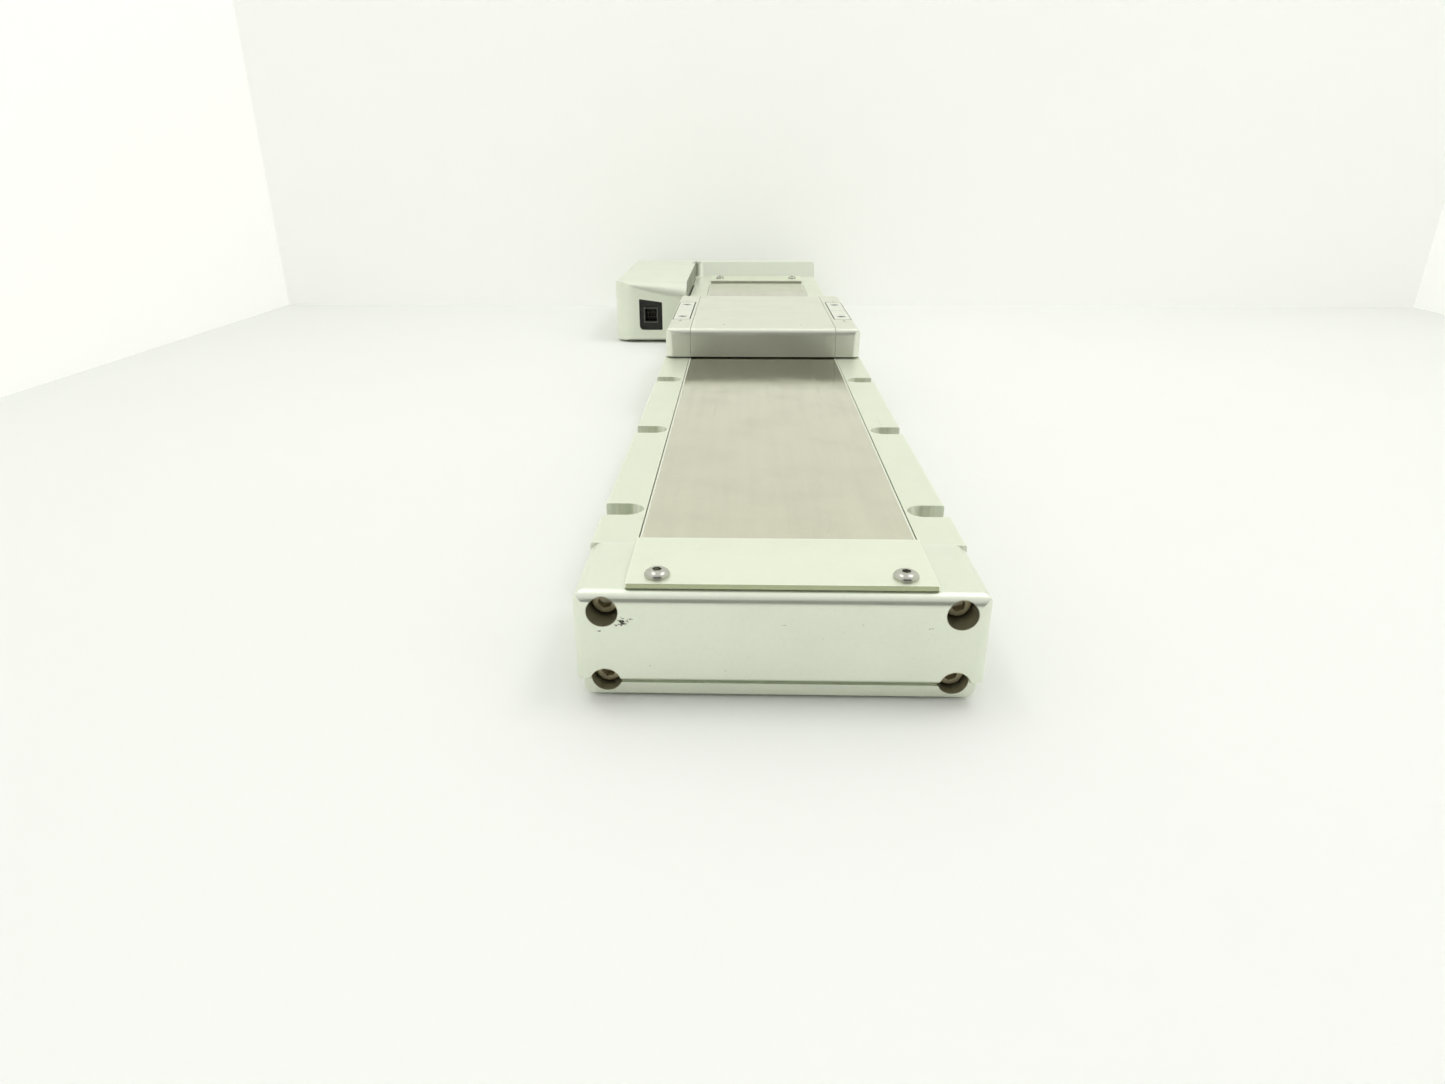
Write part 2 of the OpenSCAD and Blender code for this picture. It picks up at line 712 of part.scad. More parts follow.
// Each outline is drawn at the outer skin for inset 0 and at the inner skin for
// inset drive_wall, where the space runs on through the open underside
module hood_block(inset) {
    r = drive_edge_r - inset;
    re = max(0, hood_edge_r - inset);
    rc = hood_corner_r - inset;
    z0 = inset > 0 ? drive_z - 1 : drive_z;
    rb = inset > 0 ? 0 : 3;
    x0 = hood_x0 + inset;
    x1 = hood_x1 - inset;
    y0 = hood_y0 + inset;
    y1 = drive_back - inset;
    top = drive_top - inset;
    intersection() {
        along_z(z0, top) polygon(box_outline(x0, y0, x1, y1, [rc, r, 0, r]));
        along_y(y0, y1) polygon(box_outline(x0, z0, x1, top, [rb, 0, 0, re]));
        along_x(x0, x1) polygon(box_outline(y0, z0, y1, top, [rb, rb, r, re]));
    }
}

// Tool that rounds the hood's front top edge with a radius that grows evenly from
// its outer end to its inner one: the skin left is part of a cone. The cone sinks a
// little below both faces, so it meets them in a line
module hood_front_cut(inset) translate([hood_x0, hood_y0 + inset, drive_top - inset]) {
    growth = (front_r_in - front_r_out) / hood_w;
    tip = -front_r_out / growth;
    run = hood_w + 5 - tip;
    sink = 0.02;
    difference() {
        intersection() {
            along_z(-growth * run, 1) {
                polygon([[tip, -1], [tip + run, -1], [tip + run, growth * run], [tip, 0]]);
            }
            along_y(-1, growth * run) {
                polygon([[tip, 0], [tip + run, -growth * run], [tip + run, 1], [tip, 1]]);
            }
        }
        translate([tip, sink, -sink]) {
            rotate([0, 90 + asin(growth / sqrt(1 + 2 * growth * growth)), atan(growth)]) {
                cylinder(h = 2 * run, r1 = 0, r2 = 2 * run * growth / sqrt(1 + growth * growth), $fn = 128);
            }
        }
    }
}

module ledge_block(inset) {
    block(hood_x1 - drive_wall / 2, rail_half - inset, ledge_y0 - inset, foot_y + 5,
        inset > 0 ? drive_z - 1 : drive_z, rail_h - inset);
}

module belt_block(inset) {
    r = drive_edge_r - inset;
    x1 = rail_half - inset;
    z0 = inset > 0 ? drive_z - 1 : drive_z;
    crest = foot_y + belt_lean + inset;
    back = drive_back - inset;
    top = drive_top - inset;
    low = rail_h - inset;
    intersection() {
        along_x(hood_x0 + inset, x1) polygon(rounded([
            [foot_y + inset - 8, z0], [back, z0], [back, top], [crest, top],
            [foot_y + inset, low], [foot_y + inset - 8, low]
        ], [0, 0, r, 1.5, 2, 0]));
        along_y(foot_y - 10, back) polygon(box_outline(hood_x0 + inset, z0, x1, top, [0, 0, r, r]));
        along_z(z0, top) polygon(box_outline(hood_x0 + inset, foot_y - 20, x1, back, [0, 0, r, r]));
    }
}

// Leaning hollow where the belt housing turns into the hood's inner side
module hood_fillet() {
    reach = hood_fillet_r / cos(lean_angle);
    difference() {
        along_x(hood_x1 - 1, hood_x1 + hood_fillet_r) polygon([
            [foot_y - reach, rail_h - 1], [foot_y + 1, rail_h - 1],
            [foot_y + belt_lean + 1, drive_top - drive_edge_r / 2],
            [foot_y + belt_lean - reach, drive_top - drive_edge_r / 2]
        ]);
        translate([hood_x1 + hood_fillet_r, foot_y - reach, rail_h]) rotate([-lean_angle, 0, 0]) {
            translate([0, 0, -10]) cylinder(h = drive_rise + 20, r = hood_fillet_r);
        }
    }
}

module drive_outer() {
    difference() {
        hood_block(0);
        hood_front_cut(0);
    }
    ledge_block(0);
    belt_block(0);
    hood_fillet();
}

module drive_inner() {
    difference() {
        hood_block(drive_wall);
        hood_front_cut(drive_wall);
    }
    ledge_block(drive_wall);
    belt_block(drive_wall);
}

module conn_window(grow) {
    polygon(rounded([
        [conn_x0 - grow, conn_z - grow], [conn_x1 + grow, conn_z - grow],
        [conn_x1 + grow, conn_z + conn_h + grow], [conn_x0 - grow, conn_z + conn_h + conn_slant + grow]
    ], [3.5, 1, 1, 1]));
}

module drive_cover() color([0.83, 0.86, 0.79]) difference() {
    union() {
        difference() {
            drive_outer();
            drive_inner();
        }
        intersection() {
            drive_outer();
            for (p = plate_bosses) rod_z(p.x, p.y, drive_z + 1.6, drive_top, 7);
        }
    }
    for (p = plate_bosses) rod_z(p.x, p.y, 0, drive_z + 12, M3[0] + 2 * seat_fit);
    along_y(hood_y0 - 1, hood_y0 + drive_wall + 1) conn_window(0);
    both_sides() rod_z(clamp_screw_x, clamp_screw_rear_y, rail_h - drive_wall - 1, rail_h + 1, M4[0] + 0.5);
}

module drive_base_plate() color([0.8, 0.81, 0.79]) difference() {
    side = drive_wall + butt_gap;
    along_z(drive_z, drive_z + 1.5) {
        polygon(box_outline(hood_x0 + side, hood_y0 + side, hood_x1 - side, drive_back - side,
            [hood_corner_r - side, 1, 0, 1]));
        translate([hood_x1 - side - 1, house_y1 + butt_gap]) {
            polygon(box_outline(0, 0, rail_half - hood_x1 + 1, drive_back - side - house_y1 - butt_gap,
                [0, 0, 2, 0]));
        }
    }
    for (p = plate_bosses) rod_z(p.x, p.y, 0, 5, M3[0] + 0.4);
}

module base_plate_screws() color([0.4, 0.4, 0.4]) for (p = plate_bosses) {
    rod_z(p.x, p.y, drive_z - 0.8, drive_z, M3[1]);
    rod_z(p.x, p.y, drive_z - 0.8, drive_z + base_screw_l, M3[0]);
}

// ---- connector ----

module connector_inlet() color([0.1, 0.1, 0.1]) difference() {
    union() {
        along_y(conn_y, conn_y + 3) conn_window(1.5);
        block(socket_x - socket_w / 2, socket_x + socket_w / 2, hood_y0 + 0.6, conn_y + socket_deep + 4,
            socket_z - socket_h / 2, socket_z + socket_h / 2);
    }
    block(socket_x - socket_w / 2 + socket_wall, socket_x + socket_w / 2 - socket_wall,
        hood_y0 - 1, conn_y + socket_deep, socket_z - socket_h / 2 + socket_wall,
        socket_z + socket_h / 2 - socket_wall);
}

module connector_pins() color([0.78, 0.66, 0.35]) for (i = [-1, 0, 1], j = [-1, 1]) {
    rod_y(socket_x + 2.6 * i, socket_z + 1.8 * j, conn_y + 3, conn_y + socket_deep, 1);
}

// ---- motor and belt ----

module motor_hole_places() {
    for (i = [-1, 1], j = [-1, 1]) translate([motor_x + i * motor_d * 0.4, 0, motor_z + j * motor_d * 0.4]) children();
}

module motor_bracket() color([0.72, 0.73, 0.72]) difference() {
    union() {
        block(motor_x - motor_d / 2 - 2, motor_x + motor_d / 2 + 2, bracket_y0, bracket_y1,
            drive_z + 1.7, motor_z + motor_d / 2 + 0.5);
        block(motor_x, bearing_d / 2 + 6, bracket_y0, bracket_y1, drive_z + 1.7, house_top - 1);
    }
    rod_y(0, screw_z, bracket_y0 - 1, bracket_y1 + 1, journal_d + 4);
    rod_y(motor_x, motor_z, bracket_y0 - 1, bracket_y1 + 1, motor_d * 0.6);
    motor_hole_places() rod_y(0, 0, bracket_y0 - 1, bracket_y1 + 1, M3[0] + 0.4);
}

module motor_body() color([0.16, 0.16, 0.17]) difference() {
    union() {
        rod_y(motor_x, motor_z, motor_y0, motor_y1 - motor_flange_t + 0.5, motor_d);
        along_y(motor_y1 - motor_flange_t, motor_y1) polygon(box_outline(
            motor_x - motor_d / 2, motor_z - motor_d / 2, motor_x + motor_d / 2, motor_z + motor_d / 2,
            [3, 3, 3, 3]));
        rod_y(motor_x, motor_z, motor_y1 - 1, motor_y1 + 2, motor_d * 0.6 - 2 * seat_fit);
    }
    rod_y(motor_x, motor_z, motor_y1 - 20, motor_y1 + 3, motor_shaft_d + 2 * run_fit);
    motor_hole_places() rod_y(0, 0, motor_y1 - motor_flange_t + 1, motor_y1 + 1, M3[0] + 2 * seat_fit);
}

module motor_encoder() color([0.12, 0.12, 0.13]) difference() {
    rod_y(motor_x, motor_z, encoder_y0, motor_y0, encoder_d);
    rod_y(motor_x, motor_z, encoder_y0 - 1, encoder_y0 + 1, encoder_d - 8);
}

module motor_screws() color([0.4, 0.4, 0.4]) motor_hole_places() {
    rod_y(0, 0, bracket_y1, bracket_y1 + 1.6, M3[1] - 0.5);
    rod_y(0, 0, motor_y1 - motor_flange_t + 1.5, bracket_y1 + 1, M3[0]);
}

// Band around the two pulleys, d across each end
module belt_outline(d) {
    span = [motor_x, motor_z - screw_z];
    lean = atan2(span.y, span.x);
    steps = 2 * ARC_STEPS;
    polygon([
        for (i = [0 : steps]) let (a = lean + 90 + 180 * i / steps)
            [motor_x, motor_z] + d / 2 * [cos(a - 180), sin(a - 180)],
        for (i = [0 : steps]) let (a = lean + 90 + 180 * i / steps)
            [0, screw_z] + d / 2 * [cos(a), sin(a)]
    ]);
}

module timing_belt() color([0.12, 0.12, 0.12]) along_y(pulley_y0 + 1.25, pulley_y0 + 1.25 + belt_w) difference() {
    belt_outline(pulley_d + 2 * guide_fit + 2 * belt_t);
    belt_outline(pulley_d + 2 * guide_fit);
}

module pulley(x, z, bore) difference() {
    union() {
        rod_y(x, z, pulley_y0, pulley_y1, pulley_d);
        rod_y(x, z, pulley_y0, pulley_y0 + 1, pulley_d + 4);
        rod_y(x, z, pulley_y1 - 1, pulley_y1, pulley_d + 4);
    }
    rod_y(x, z, pulley_y0 - 1, pulley_y1 + 1, bore);
}

module driven_pulley() color([0.75, 0.75, 0.74]) pulley(0, screw_z, journal_d - 2 + 2 * seat_fit);
module drive_pulley() color([0.75, 0.75, 0.74]) pulley(motor_x, motor_z, motor_shaft_d + 2 * seat_fit);

module motor_shaft() color([0.62, 0.63, 0.64]) {
    rod_y(motor_x, motor_z, motor_y1 - 19.5, pulley_y1, motor_shaft_d);
}

// ---- end stops ----

module bumper(y0) {
    half = trough_half - 2;
    along_y(y0, y0 + bumper_l) {
        polygon(box_outline(-half, floor_t - trough_d, half, bumper_top, [0, 0, 1, 1]));
    }
}

module bumper_front() color([0.2, 0.2, 0.2]) bumper(bumper_front_y);
module bumper_rear() color([0.2, 0.2, 0.2]) bumper(bumper_rear_y);

// ---- dust strip ----

module strip_flat(y0, y1) block(-strip_half, strip_half, y0, y1, strip_z, strip_top);

module dust_strip_front() color([0.8, 0.8, 0.73]) difference() {
    strip_flat(clamp_front_y0 + 1, slider_y - loop_end - butt_gap);
    both_sides() rod_z(clamp_screw_x, clamp_screw_front_y, rail_h, clamp_z, M4[0] + 1);
}

module dust_strip_rear() color([0.8, 0.8, 0.73]) difference() {
    strip_flat(slider_y + loop_end + butt_gap, clamp_rear_y1 - 1);
    both_sides() rod_z(clamp_screw_x, clamp_screw_rear_y, rail_h, clamp_z, M4[0] + 1);
}

// The strip's centre line from a press roller (t = 0) up to a lift roller (t = 1):
// two equal arcs that meet level with the ends. Each entry is [y, z, angle].
strip_turn = 2 * atan(strip_rise / (press_y - lift_y));
function strip_ramp() = let (r = strip_arc_r, n = ARC_STEPS) [
    for (i = [0 : n]) let (a = strip_turn * i / n)
        [press_y - r * sin(a), strip_z + r * (1 - cos(a)), a],
    for (i = [1 : n]) let (a = strip_turn * (1 - i / n))
        [lift_y + r * sin(a), loop_z - r * (1 - cos(a)), a]
];

module dust_strip_loop() color([0.8, 0.8, 0.73]) at_slider() {
    rear = concat([[loop_end, strip_z, 0]], strip_ramp());
    low = [for (p = rear) [p[0], p[1]]];
    high = [for (p = rear) [p[0] + strip_t * sin(p[2]), p[1] + strip_t * cos(p[2])]];
    n = len(rear);
    along_x(-strip_half, strip_half) polygon(concat(
        [for (i = [n - 1 : -1 : 0]) [-low[i].x, low[i].y]],
        [for (i = [0 : n - 1]) [-high[i].x, high[i].y]],
        [for (i = [n - 1 : -1 : 0]) high[i]],
        low
    ));
}

// ---- carriage ----

module pad_screw_places() {
    for (y = [-pad_screw_y, pad_screw_y]) translate([pad_x, y, 0]) children();
}

module block_screw_places() {
    for (x = [-5, 5], y = [-1, 1] * block_screw_y, c = [-block_y, block_y]) {
        translate([guide_x + x, c + y, 0]) children();
    }
}

module roller_pin_places() {
    both_ends() {
        translate([0, press_y, press_z]) children();
        translate([0, lift_y, lift_z]) children();
    }
}

module carriage_table() color([0.8, 0.81, 0.79]) at_slider() difference() {
    union() {
        difference() {
            block(-neck_half, neck_half, -table_half_y, table_half_y, block_top, wing_top);
            block(-tunnel_half, tunnel_half, -table_half_y - 1, table_half_y + 1, 0, tunnel_top);
        }
        block(-wing_half_x, wing_half_x, -pad_half_y, pad_half_y, wing_z, wing_top);
        both_sides() {
            block(arm_x, wing_half_x, -arm_end, arm_end, wing_z, wing_top);
            both_ends() block(arm_x, wing_half_x, bracket_start, arm_end, wing_z, arm_top);
        }
    }
    roller_pin_places() rod_x(0, 0, -pin_half, pin_half, pin_d + 2 * seat_fit);
    both_sides() {
        block_screw_places() {
            rod_z(0, 0, block_top - 1, wing_top + 1, M3[0] + 0.4);
            rod_z(0, 0, wing_top - M3[2] - 0.3, wing_top + 1, M3[1] + 0.4);
        }
        pad_screw_places() {
            rod_z(0, 0, wing_z - 1, wing_top + 1, M3[0] + 0.4);
            rod_z(0, 0, wing_z - 1, wing_z + 1.8, M3[1] + 0.4);
        }
        both_ends() translate([cover_screw_x, cover_screw_y, 0]) {
            rod_z(0, 0, wing_z - 1, arm_top + 1, M3[0] + 0.4);
            rod_z(0, 0, wing_z - 1, wing_z + 1.8, M3[1] + 0.4);
        }
        for (x = [-8, 8]) rod_z(x, nut_bracket_y + nut_bracket_t / 2, tunnel_top - 1, wing_top + 1, M3[0] + 0.4);
    }
}

// Saddle over a guide rail, between its two end caps
module guide_block(side, end) at_slider() translate([side * guide_x, end * block_y, 0]) {
    half = block_l / 2 - block_cap_t;
    difference() {
        along_y(-half, half) block_section(0.6);
        for (x = [-5, 5], y = [-1, 1] * block_screw_y) {
            rod_z(x, y, block_top - 4.5, block_top + 1, M3[0] + 2 * seat_fit);
        }
    }
}

module block_section(bevel) {
    w = block_w / 2;
    channel = guide_w / 2 + guide_fit;
    difference() {
        polygon([
            [-w, block_z], [w, block_z], [w, block_top - bevel], [w - bevel, block_top],
            [bevel - w, block_top], [-w, block_top - bevel]
        ]);
        translate([-channel, block_z - 1]) square([2 * channel, guide_top + guide_fit - block_z + 1]);
    }
}

module guide_block_front_left() color([0.6, 0.61, 0.62]) guide_block(-1, -1);
module guide_block_front_right() color([0.6, 0.61, 0.62]) guide_block(1, -1);
module guide_block_rear_left() color([0.6, 0.61, 0.62]) guide_block(-1, 1);
module guide_block_rear_right() color([0.6, 0.61, 0.62]) guide_block(1, 1);

module guide_block_end_caps() color([0.15, 0.3, 0.22]) at_slider() {
    for (side = [-1, 1], end = [-1, 1], face = [-1, 1]) {
        y0 = end * block_y + face * (block_l - block_cap_t) / 2;
        translate([side * guide_x, y0, 0]) along_y(-block_cap_t / 2, block_cap_t / 2) intersection() {
            block_section(1);
            translate([-block_w, 0]) square([2 * block_w, block_top - 0.3]);
        }
    }
}

module block_screws() color([0.3, 0.3, 0.31]) at_slider() both_sides() block_screw_places() {
    rod_z(0, 0, wing_top - M3[2] - 0.3, wing_top - 0.3, M3[1]);
    rod_z(0, 0, block_top - 4, wing_top - M3[2], M3[0]);
}

nut_y0 = -nut_l / 2;
nut_bracket_y = nut_y0 + nut_flange_t;

module ball_nut() color([0.66, 0.67, 0.68]) at_slider() difference() {
    union() {
        intersection() {
            rod_y(0, screw_z, nut_y0, nut_y0 + nut_flange_t, nut_flange_d);
            block(-nut_flange_d, nut_flange_d, nut_y0, nut_y0 + nut_flange_t,
                screw_z - nut_flat / 2, screw_z + nut_flat / 2);
        }
        rod_y(0, screw_z, nut_y0, -nut_y0, nut_d);
    }
    rod_y(0, screw_z, nut_y0 - 1, 1 - nut_y0, screw_d + 2 * run_fit);
    nut_screw_places() rod_y(0, 0, nut_y0 - 1, nut_bracket_y + 1, M3[0] + 0.4);
}

module nut_screw_places() {
    both_sides() for (a = [-18, 18]) {
        r = (nut_flange_d + nut_d) / 4;
        translate([r * cos(a), 0, screw_z + r * sin(a)]) children();
    }
}

module nut_bracket() color([0.72, 0.73, 0.72]) at_slider() difference() {
    block(-nut_flange_d / 2, nut_flange_d / 2, nut_bracket_y, nut_bracket_y + nut_bracket_t,
        screw_z - nut_flat / 2 + 0.5, tunnel_top);
    rod_y(0, screw_z, nut_bracket_y - 1, nut_bracket_y + nut_bracket_t + 1, nut_d + 2 * seat_fit);
    nut_screw_places() rod_y(0, 0, nut_bracket_y - 1, nut_bracket_y + 8, M3[0] + 2 * seat_fit);
}

module nut_screws() color([0.3, 0.3, 0.31]) at_slider() nut_screw_places() {
    rod_y(0, 0, nut_y0 - 2, nut_y0, M3[1] - 1);
    rod_y(0, 0, nut_y0 - 1, nut_bracket_y + 7, M3[0]);
}

// ---- slider covers and mounting pads ----

module mounting_pad() difference() {
    block(pad_x - pad_w / 2, pad_x + pad_w / 2, -pad_half_y, pad_half_y, wing_top, cover_top);
    both_ends() rod_z(pad_x, pad_hole_y, wing_top - 1, cover_top + 1, pad_hole_d);
    pad_screw_places() rod_z(0, 0, wing_top - 1, wing_top + 6, M3[0] + 2 * seat_fit);
    block(pad_x - pad_w, pad_x + pad_w, -0.3, 0.3, cover_top - 0.5, cover_top + 1);
}

module mounting_pad_left() color([0.93, 0.93, 0.9]) at_slider() mirror([1, 0, 0]) mounting_pad();
module mounting_pad_right() color([0.93, 0.93, 0.9]) at_slider() mounting_pad();

module pad_screws() color([0.3, 0.3, 0.31]) at_slider() both_sides() pad_screw_places() {
    rod_z(0, 0, wing_z + 0.1, wing_z + 1.8, M3[1]);
    rod_z(0, 0, wing_z + 0.5, wing_top + 5, M3[0]);
}

// Slider envelope between two X values, at the outer skin for inset 0 and at the
// inner skin for inset cover_wall
module slider_body(x0, x1, inset) {
    half_x = cover_half - inset;
    half_y = slider_l / 2 - inset;
    top = cover_top - inset;
    r = max(cover_edge_r - inset, 0);
    rc = cover_corner_r - inset;
    z0 = inset > 0 ? cover_z - 1 : cover_z;
    intersection() {
        along_x(x0, x1) polygon(box_outline(-half_y, z0, half_y, top, [0, 0, r, r]));
        along_y(-half_y, half_y) polygon(box_outline(-half_x, z0, half_x, top, [0, 0, r, r]));
        along_z(z0, top) polygon(box_outline(-half_x, -half_y, half_x, half_y, [rc, rc, rc, rc]));
    }
}

module slider_cover() color([0.8, 0.81, 0.76]) at_slider() {
    difference() {
        slider_body(-mid_half, mid_half, 0);
        slider_body(-mid_half - 1, mid_half + 1, cover_wall);
    }
    rib_y = slider_l / 2 - cover_wall - 0.5;
    for (x = [-24, 0, 24]) both_ends() {
        block(x - 0.6, x + 0.6, rib_y - 4, rib_y, cover_top - cover_wall - 5, cover_top - cover_wall + 0.5);
    }
}

module side_cover() difference() {
    ledge_y = slider_l / 2 - cover_wall - 1.2;
    union() {
        difference() {
            slider_body(mid_half + seam, cover_half, 0);
            slider_body(mid_half + seam - 1, cover_half, cover_wall);
        }
        block(mid_half - cover_ledge, mid_half + seam + 1, -ledge_y, ledge_y,
            cover_top - cover_wall - cover_ledge, cover_top - cover_wall - lay_gap);
        block(mid_half + seam, mid_half + seam + 1, -ledge_y, ledge_y,
            cover_top - cover_wall - cover_ledge, cover_top - cover_wall + 0.5);
        both_ends() {
            rod_z(cover_screw_x, cover_screw_y, arm_top + butt_gap, cover_top - cover_wall + 0.5, 6);
        }
    }
    along_z(cover_top - cover_wall - cover_ledge - 1, cover_top + 1) polygon(box_outline(
        pad_x - pad_w / 2 - pad_gap, -pad_half_y - pad_gap, pad_x + pad_w / 2 + pad_gap, pad_half_y + pad_gap,
        [1, 1, 1, 1]));
    both_ends() {
        rod_z(cover_screw_x, cover_screw_y, arm_top, cover_top - 3, M3[0] + 2 * seat_fit);
        rod_z(cover_screw_x, cover_screw_y, cover_top - 0.8, cover_top + 1, 2.5);
    }
}

module slider_side_cover_left() color([0.8, 0.81, 0.76]) at_slider() mirror([1, 0, 0]) side_cover();
module slider_side_cover_right() color([0.8, 0.81, 0.76]) at_slider() side_cover();

module side_cover_screws() color([0.3, 0.3, 0.31]) at_slider() both_sides() both_ends() {
    rod_z(cover_screw_x, cover_screw_y, wing_z + 0.1, wing_z + 1.8, M3[1]);
    rod_z(cover_screw_x, cover_screw_y, wing_z + 0.5, arm_top + 6, M3[0]);
}

// ---- rollers ----

module roller(y, z, d) difference() {
    rod_x(y, z, -roller_half, roller_half, d);
    rod_x(y, z, -roller_half - 1, roller_half + 1, pin_d + 2 * run_fit);
}

module press_roller_front() color([0.25, 0.25, 0.26]) at_slider() roller(-press_y, press_z, press_d);
module press_roller_rear() color([0.25, 0.25, 0.26]) at_slider() roller(press_y, press_z, press_d);
module lift_roller_front() color([0.85, 0.85, 0.82]) at_slider() roller(-lift_y, lift_z, lift_d);
module lift_roller_rear() color([0.85, 0.85, 0.82]) at_slider() roller(lift_y, lift_z, lift_d);

module roller_pins() color([0.62, 0.63, 0.64]) at_slider() roller_pin_places() {
    rod_x(0, 0, 0.1 - pin_half, pin_half - 0.1, pin_d);
}

// ---- ball screw ----

module ball_screw() color([0.7, 0.71, 0.72]) {
    rod_y(0, screw_z, -rail_end - 1.2, bearing_y, screw_d);
    rod_y(0, screw_z, front_bearing_y - 3, -rail_end, journal_d);
    rod_y(0, screw_z, bearing_y - 1, bracket_y1 + 1, journal_d);
    rod_y(0, screw_z, bracket_y1, pulley_y1, journal_d - 2);
}

module lock_nut() color([0.35, 0.35, 0.36]) difference() {
    rod_y(0, screw_z, lock_nut_y, lock_nut_y + 8, bearing_d - 5);
    rod_y(0, screw_z, lock_nut_y - 1, lock_nut_y + 9, journal_d + 2 * seat_fit);
    for (a = [0 : 90 : 270]) translate([0, lock_nut_y + 5, screw_z]) rotate([0, a, 0]) {
        translate([-1.5, 0, bearing_d / 2 - 4.5]) cube([3, 4, 4]);
    }
}

base_rail();
guide_rail_left();
guide_rail_right();
guide_rail_screws();
strip_guide_left();
strip_guide_right();
front_end_cap();
front_cap_screws();
front_bearing();
strip_clamp_front();
strip_clamp_rear();
clamp_screws();
bearing_housing();
housing_screws();
rear_bearings();
drive_cover();
drive_base_plate();
base_plate_screws();
connector_inlet();
connector_pins();
motor_bracket();
motor_body();
motor_encoder();
motor_screws();
timing_belt();
bumper_front();
bumper_rear();
dust_strip_front();
dust_strip_rear();
carriage_table();
guide_block_front_left();
guide_block_front_right();
guide_block_rear_left();
guide_block_rear_right();
guide_block_end_caps();
block_screws();
ball_nut();
nut_bracket();
nut_screws();
mounting_pad_left();
mounting_pad_right();
pad_screws();
slider_cover();
slider_side_cover_left();
slider_side_cover_right();
side_cover_screws();
roller_pins();
dust_strip_loop();
press_roller_front();
press_roller_rear();
lift_roller_front();
lift_roller_rear();
ball_screw();
lock_nut();
driven_pulley();
motor_shaft();
drive_pulley();
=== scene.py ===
"""Looks of the motorised linear slide: pale anodised rail, steel dust strip, moulded
slider with machined pads, and painted castings at both ends, in a white booth."""

import json
import math

import bmesh
import bpy
from mathutils import Euler, Matrix, Vector
from mathutils.bvhtree import BVHTree

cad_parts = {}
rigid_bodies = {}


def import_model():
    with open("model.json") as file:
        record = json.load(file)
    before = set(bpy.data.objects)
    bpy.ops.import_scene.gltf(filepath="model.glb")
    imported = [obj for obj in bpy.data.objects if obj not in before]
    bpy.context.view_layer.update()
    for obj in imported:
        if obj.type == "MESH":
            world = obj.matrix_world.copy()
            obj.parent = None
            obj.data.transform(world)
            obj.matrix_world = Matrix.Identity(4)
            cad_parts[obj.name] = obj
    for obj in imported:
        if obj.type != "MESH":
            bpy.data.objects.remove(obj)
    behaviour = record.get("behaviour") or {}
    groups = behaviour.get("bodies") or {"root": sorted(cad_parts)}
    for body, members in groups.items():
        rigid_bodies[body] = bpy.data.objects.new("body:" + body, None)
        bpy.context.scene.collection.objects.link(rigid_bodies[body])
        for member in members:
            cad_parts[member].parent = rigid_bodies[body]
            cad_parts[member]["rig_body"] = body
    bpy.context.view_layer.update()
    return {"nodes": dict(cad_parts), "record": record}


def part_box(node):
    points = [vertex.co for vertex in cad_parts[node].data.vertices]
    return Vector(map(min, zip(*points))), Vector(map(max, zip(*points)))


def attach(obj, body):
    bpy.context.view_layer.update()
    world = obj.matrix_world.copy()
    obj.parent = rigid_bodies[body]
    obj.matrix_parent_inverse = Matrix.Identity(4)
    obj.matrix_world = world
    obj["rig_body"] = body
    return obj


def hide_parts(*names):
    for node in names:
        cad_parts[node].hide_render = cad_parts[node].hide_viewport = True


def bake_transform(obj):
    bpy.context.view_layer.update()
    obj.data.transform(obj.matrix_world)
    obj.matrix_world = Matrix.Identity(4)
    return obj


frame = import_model()
record = frame["record"]
nodes = frame["nodes"]
MM = 0.001

# ---------------------------------------------------------------- image points
W, H = 1445, 1084
L = max(W, H)
POINTS = {
    "left_edge": (572.3, 600.0),
    "right_edge": (993.7, 600.0),
    "top_edge": (722.0, 260.3),
    "bottom_edge": (780.0, 697.0),
    "clamp_screw_left": (657.5, 574.0),
    "clamp_screw_right": (907.0, 575.5),
    "counterbore_upper_left": (602.3, 613.5),
    "counterbore_upper_right": (964.2, 615.4),
    "counterbore_lower_left": (606.8, 680.2),
    "counterbore_lower_right": (956.5, 682.0),
    "pocket_1_left": (623.0, 509.0),
    "pocket_1_right": (928.6, 511.0),
    "pocket_2_left": (651.1, 428.5),
    "pocket_2_right": (886.6, 430.3),
    "slider_foot_left": (666.5, 356.5),
    "slider_foot_right": (860.0, 356.5),
    "moulding_dot_left": (724.0, 324.5),
    "moulding_dot_right": (801.0, 325.0),
    "socket": (650.8, 314.7),
    "rub_mark": (622.0, 622.0),
}

# ---------------------------------------------------------------------- camera
FOCAL_PX = 895.6
SENSOR_MM = 36.0
EYE = Vector((-11.3, -577.2, 148.2)) * MM
TILT_DOWN = math.radians(23.24)
PAN_LEFT = math.radians(1.39)
ROLL = math.radians(-0.06)


def new_object(name, data):
    made = bpy.data.objects.new(name, data)
    bpy.context.scene.collection.objects.link(made)
    return made


def add_camera():
    data = bpy.data.cameras.new("photo_camera")
    data.sensor_width = SENSOR_MM
    data.sensor_fit = "AUTO"
    data.lens = FOCAL_PX * SENSOR_MM / L
    data.clip_start = 0.01
    data.clip_end = 100.0
    camera = new_object("photo_camera", data)
    turn = Euler((math.pi / 2 - TILT_DOWN, 0, PAN_LEFT)).to_matrix() @ Matrix.Rotation(ROLL, 3, "Z")
    camera.matrix_world = Matrix.Translation(EYE) @ turn.to_4x4()
    bpy.context.scene.camera = camera
    return camera


camera = add_camera()


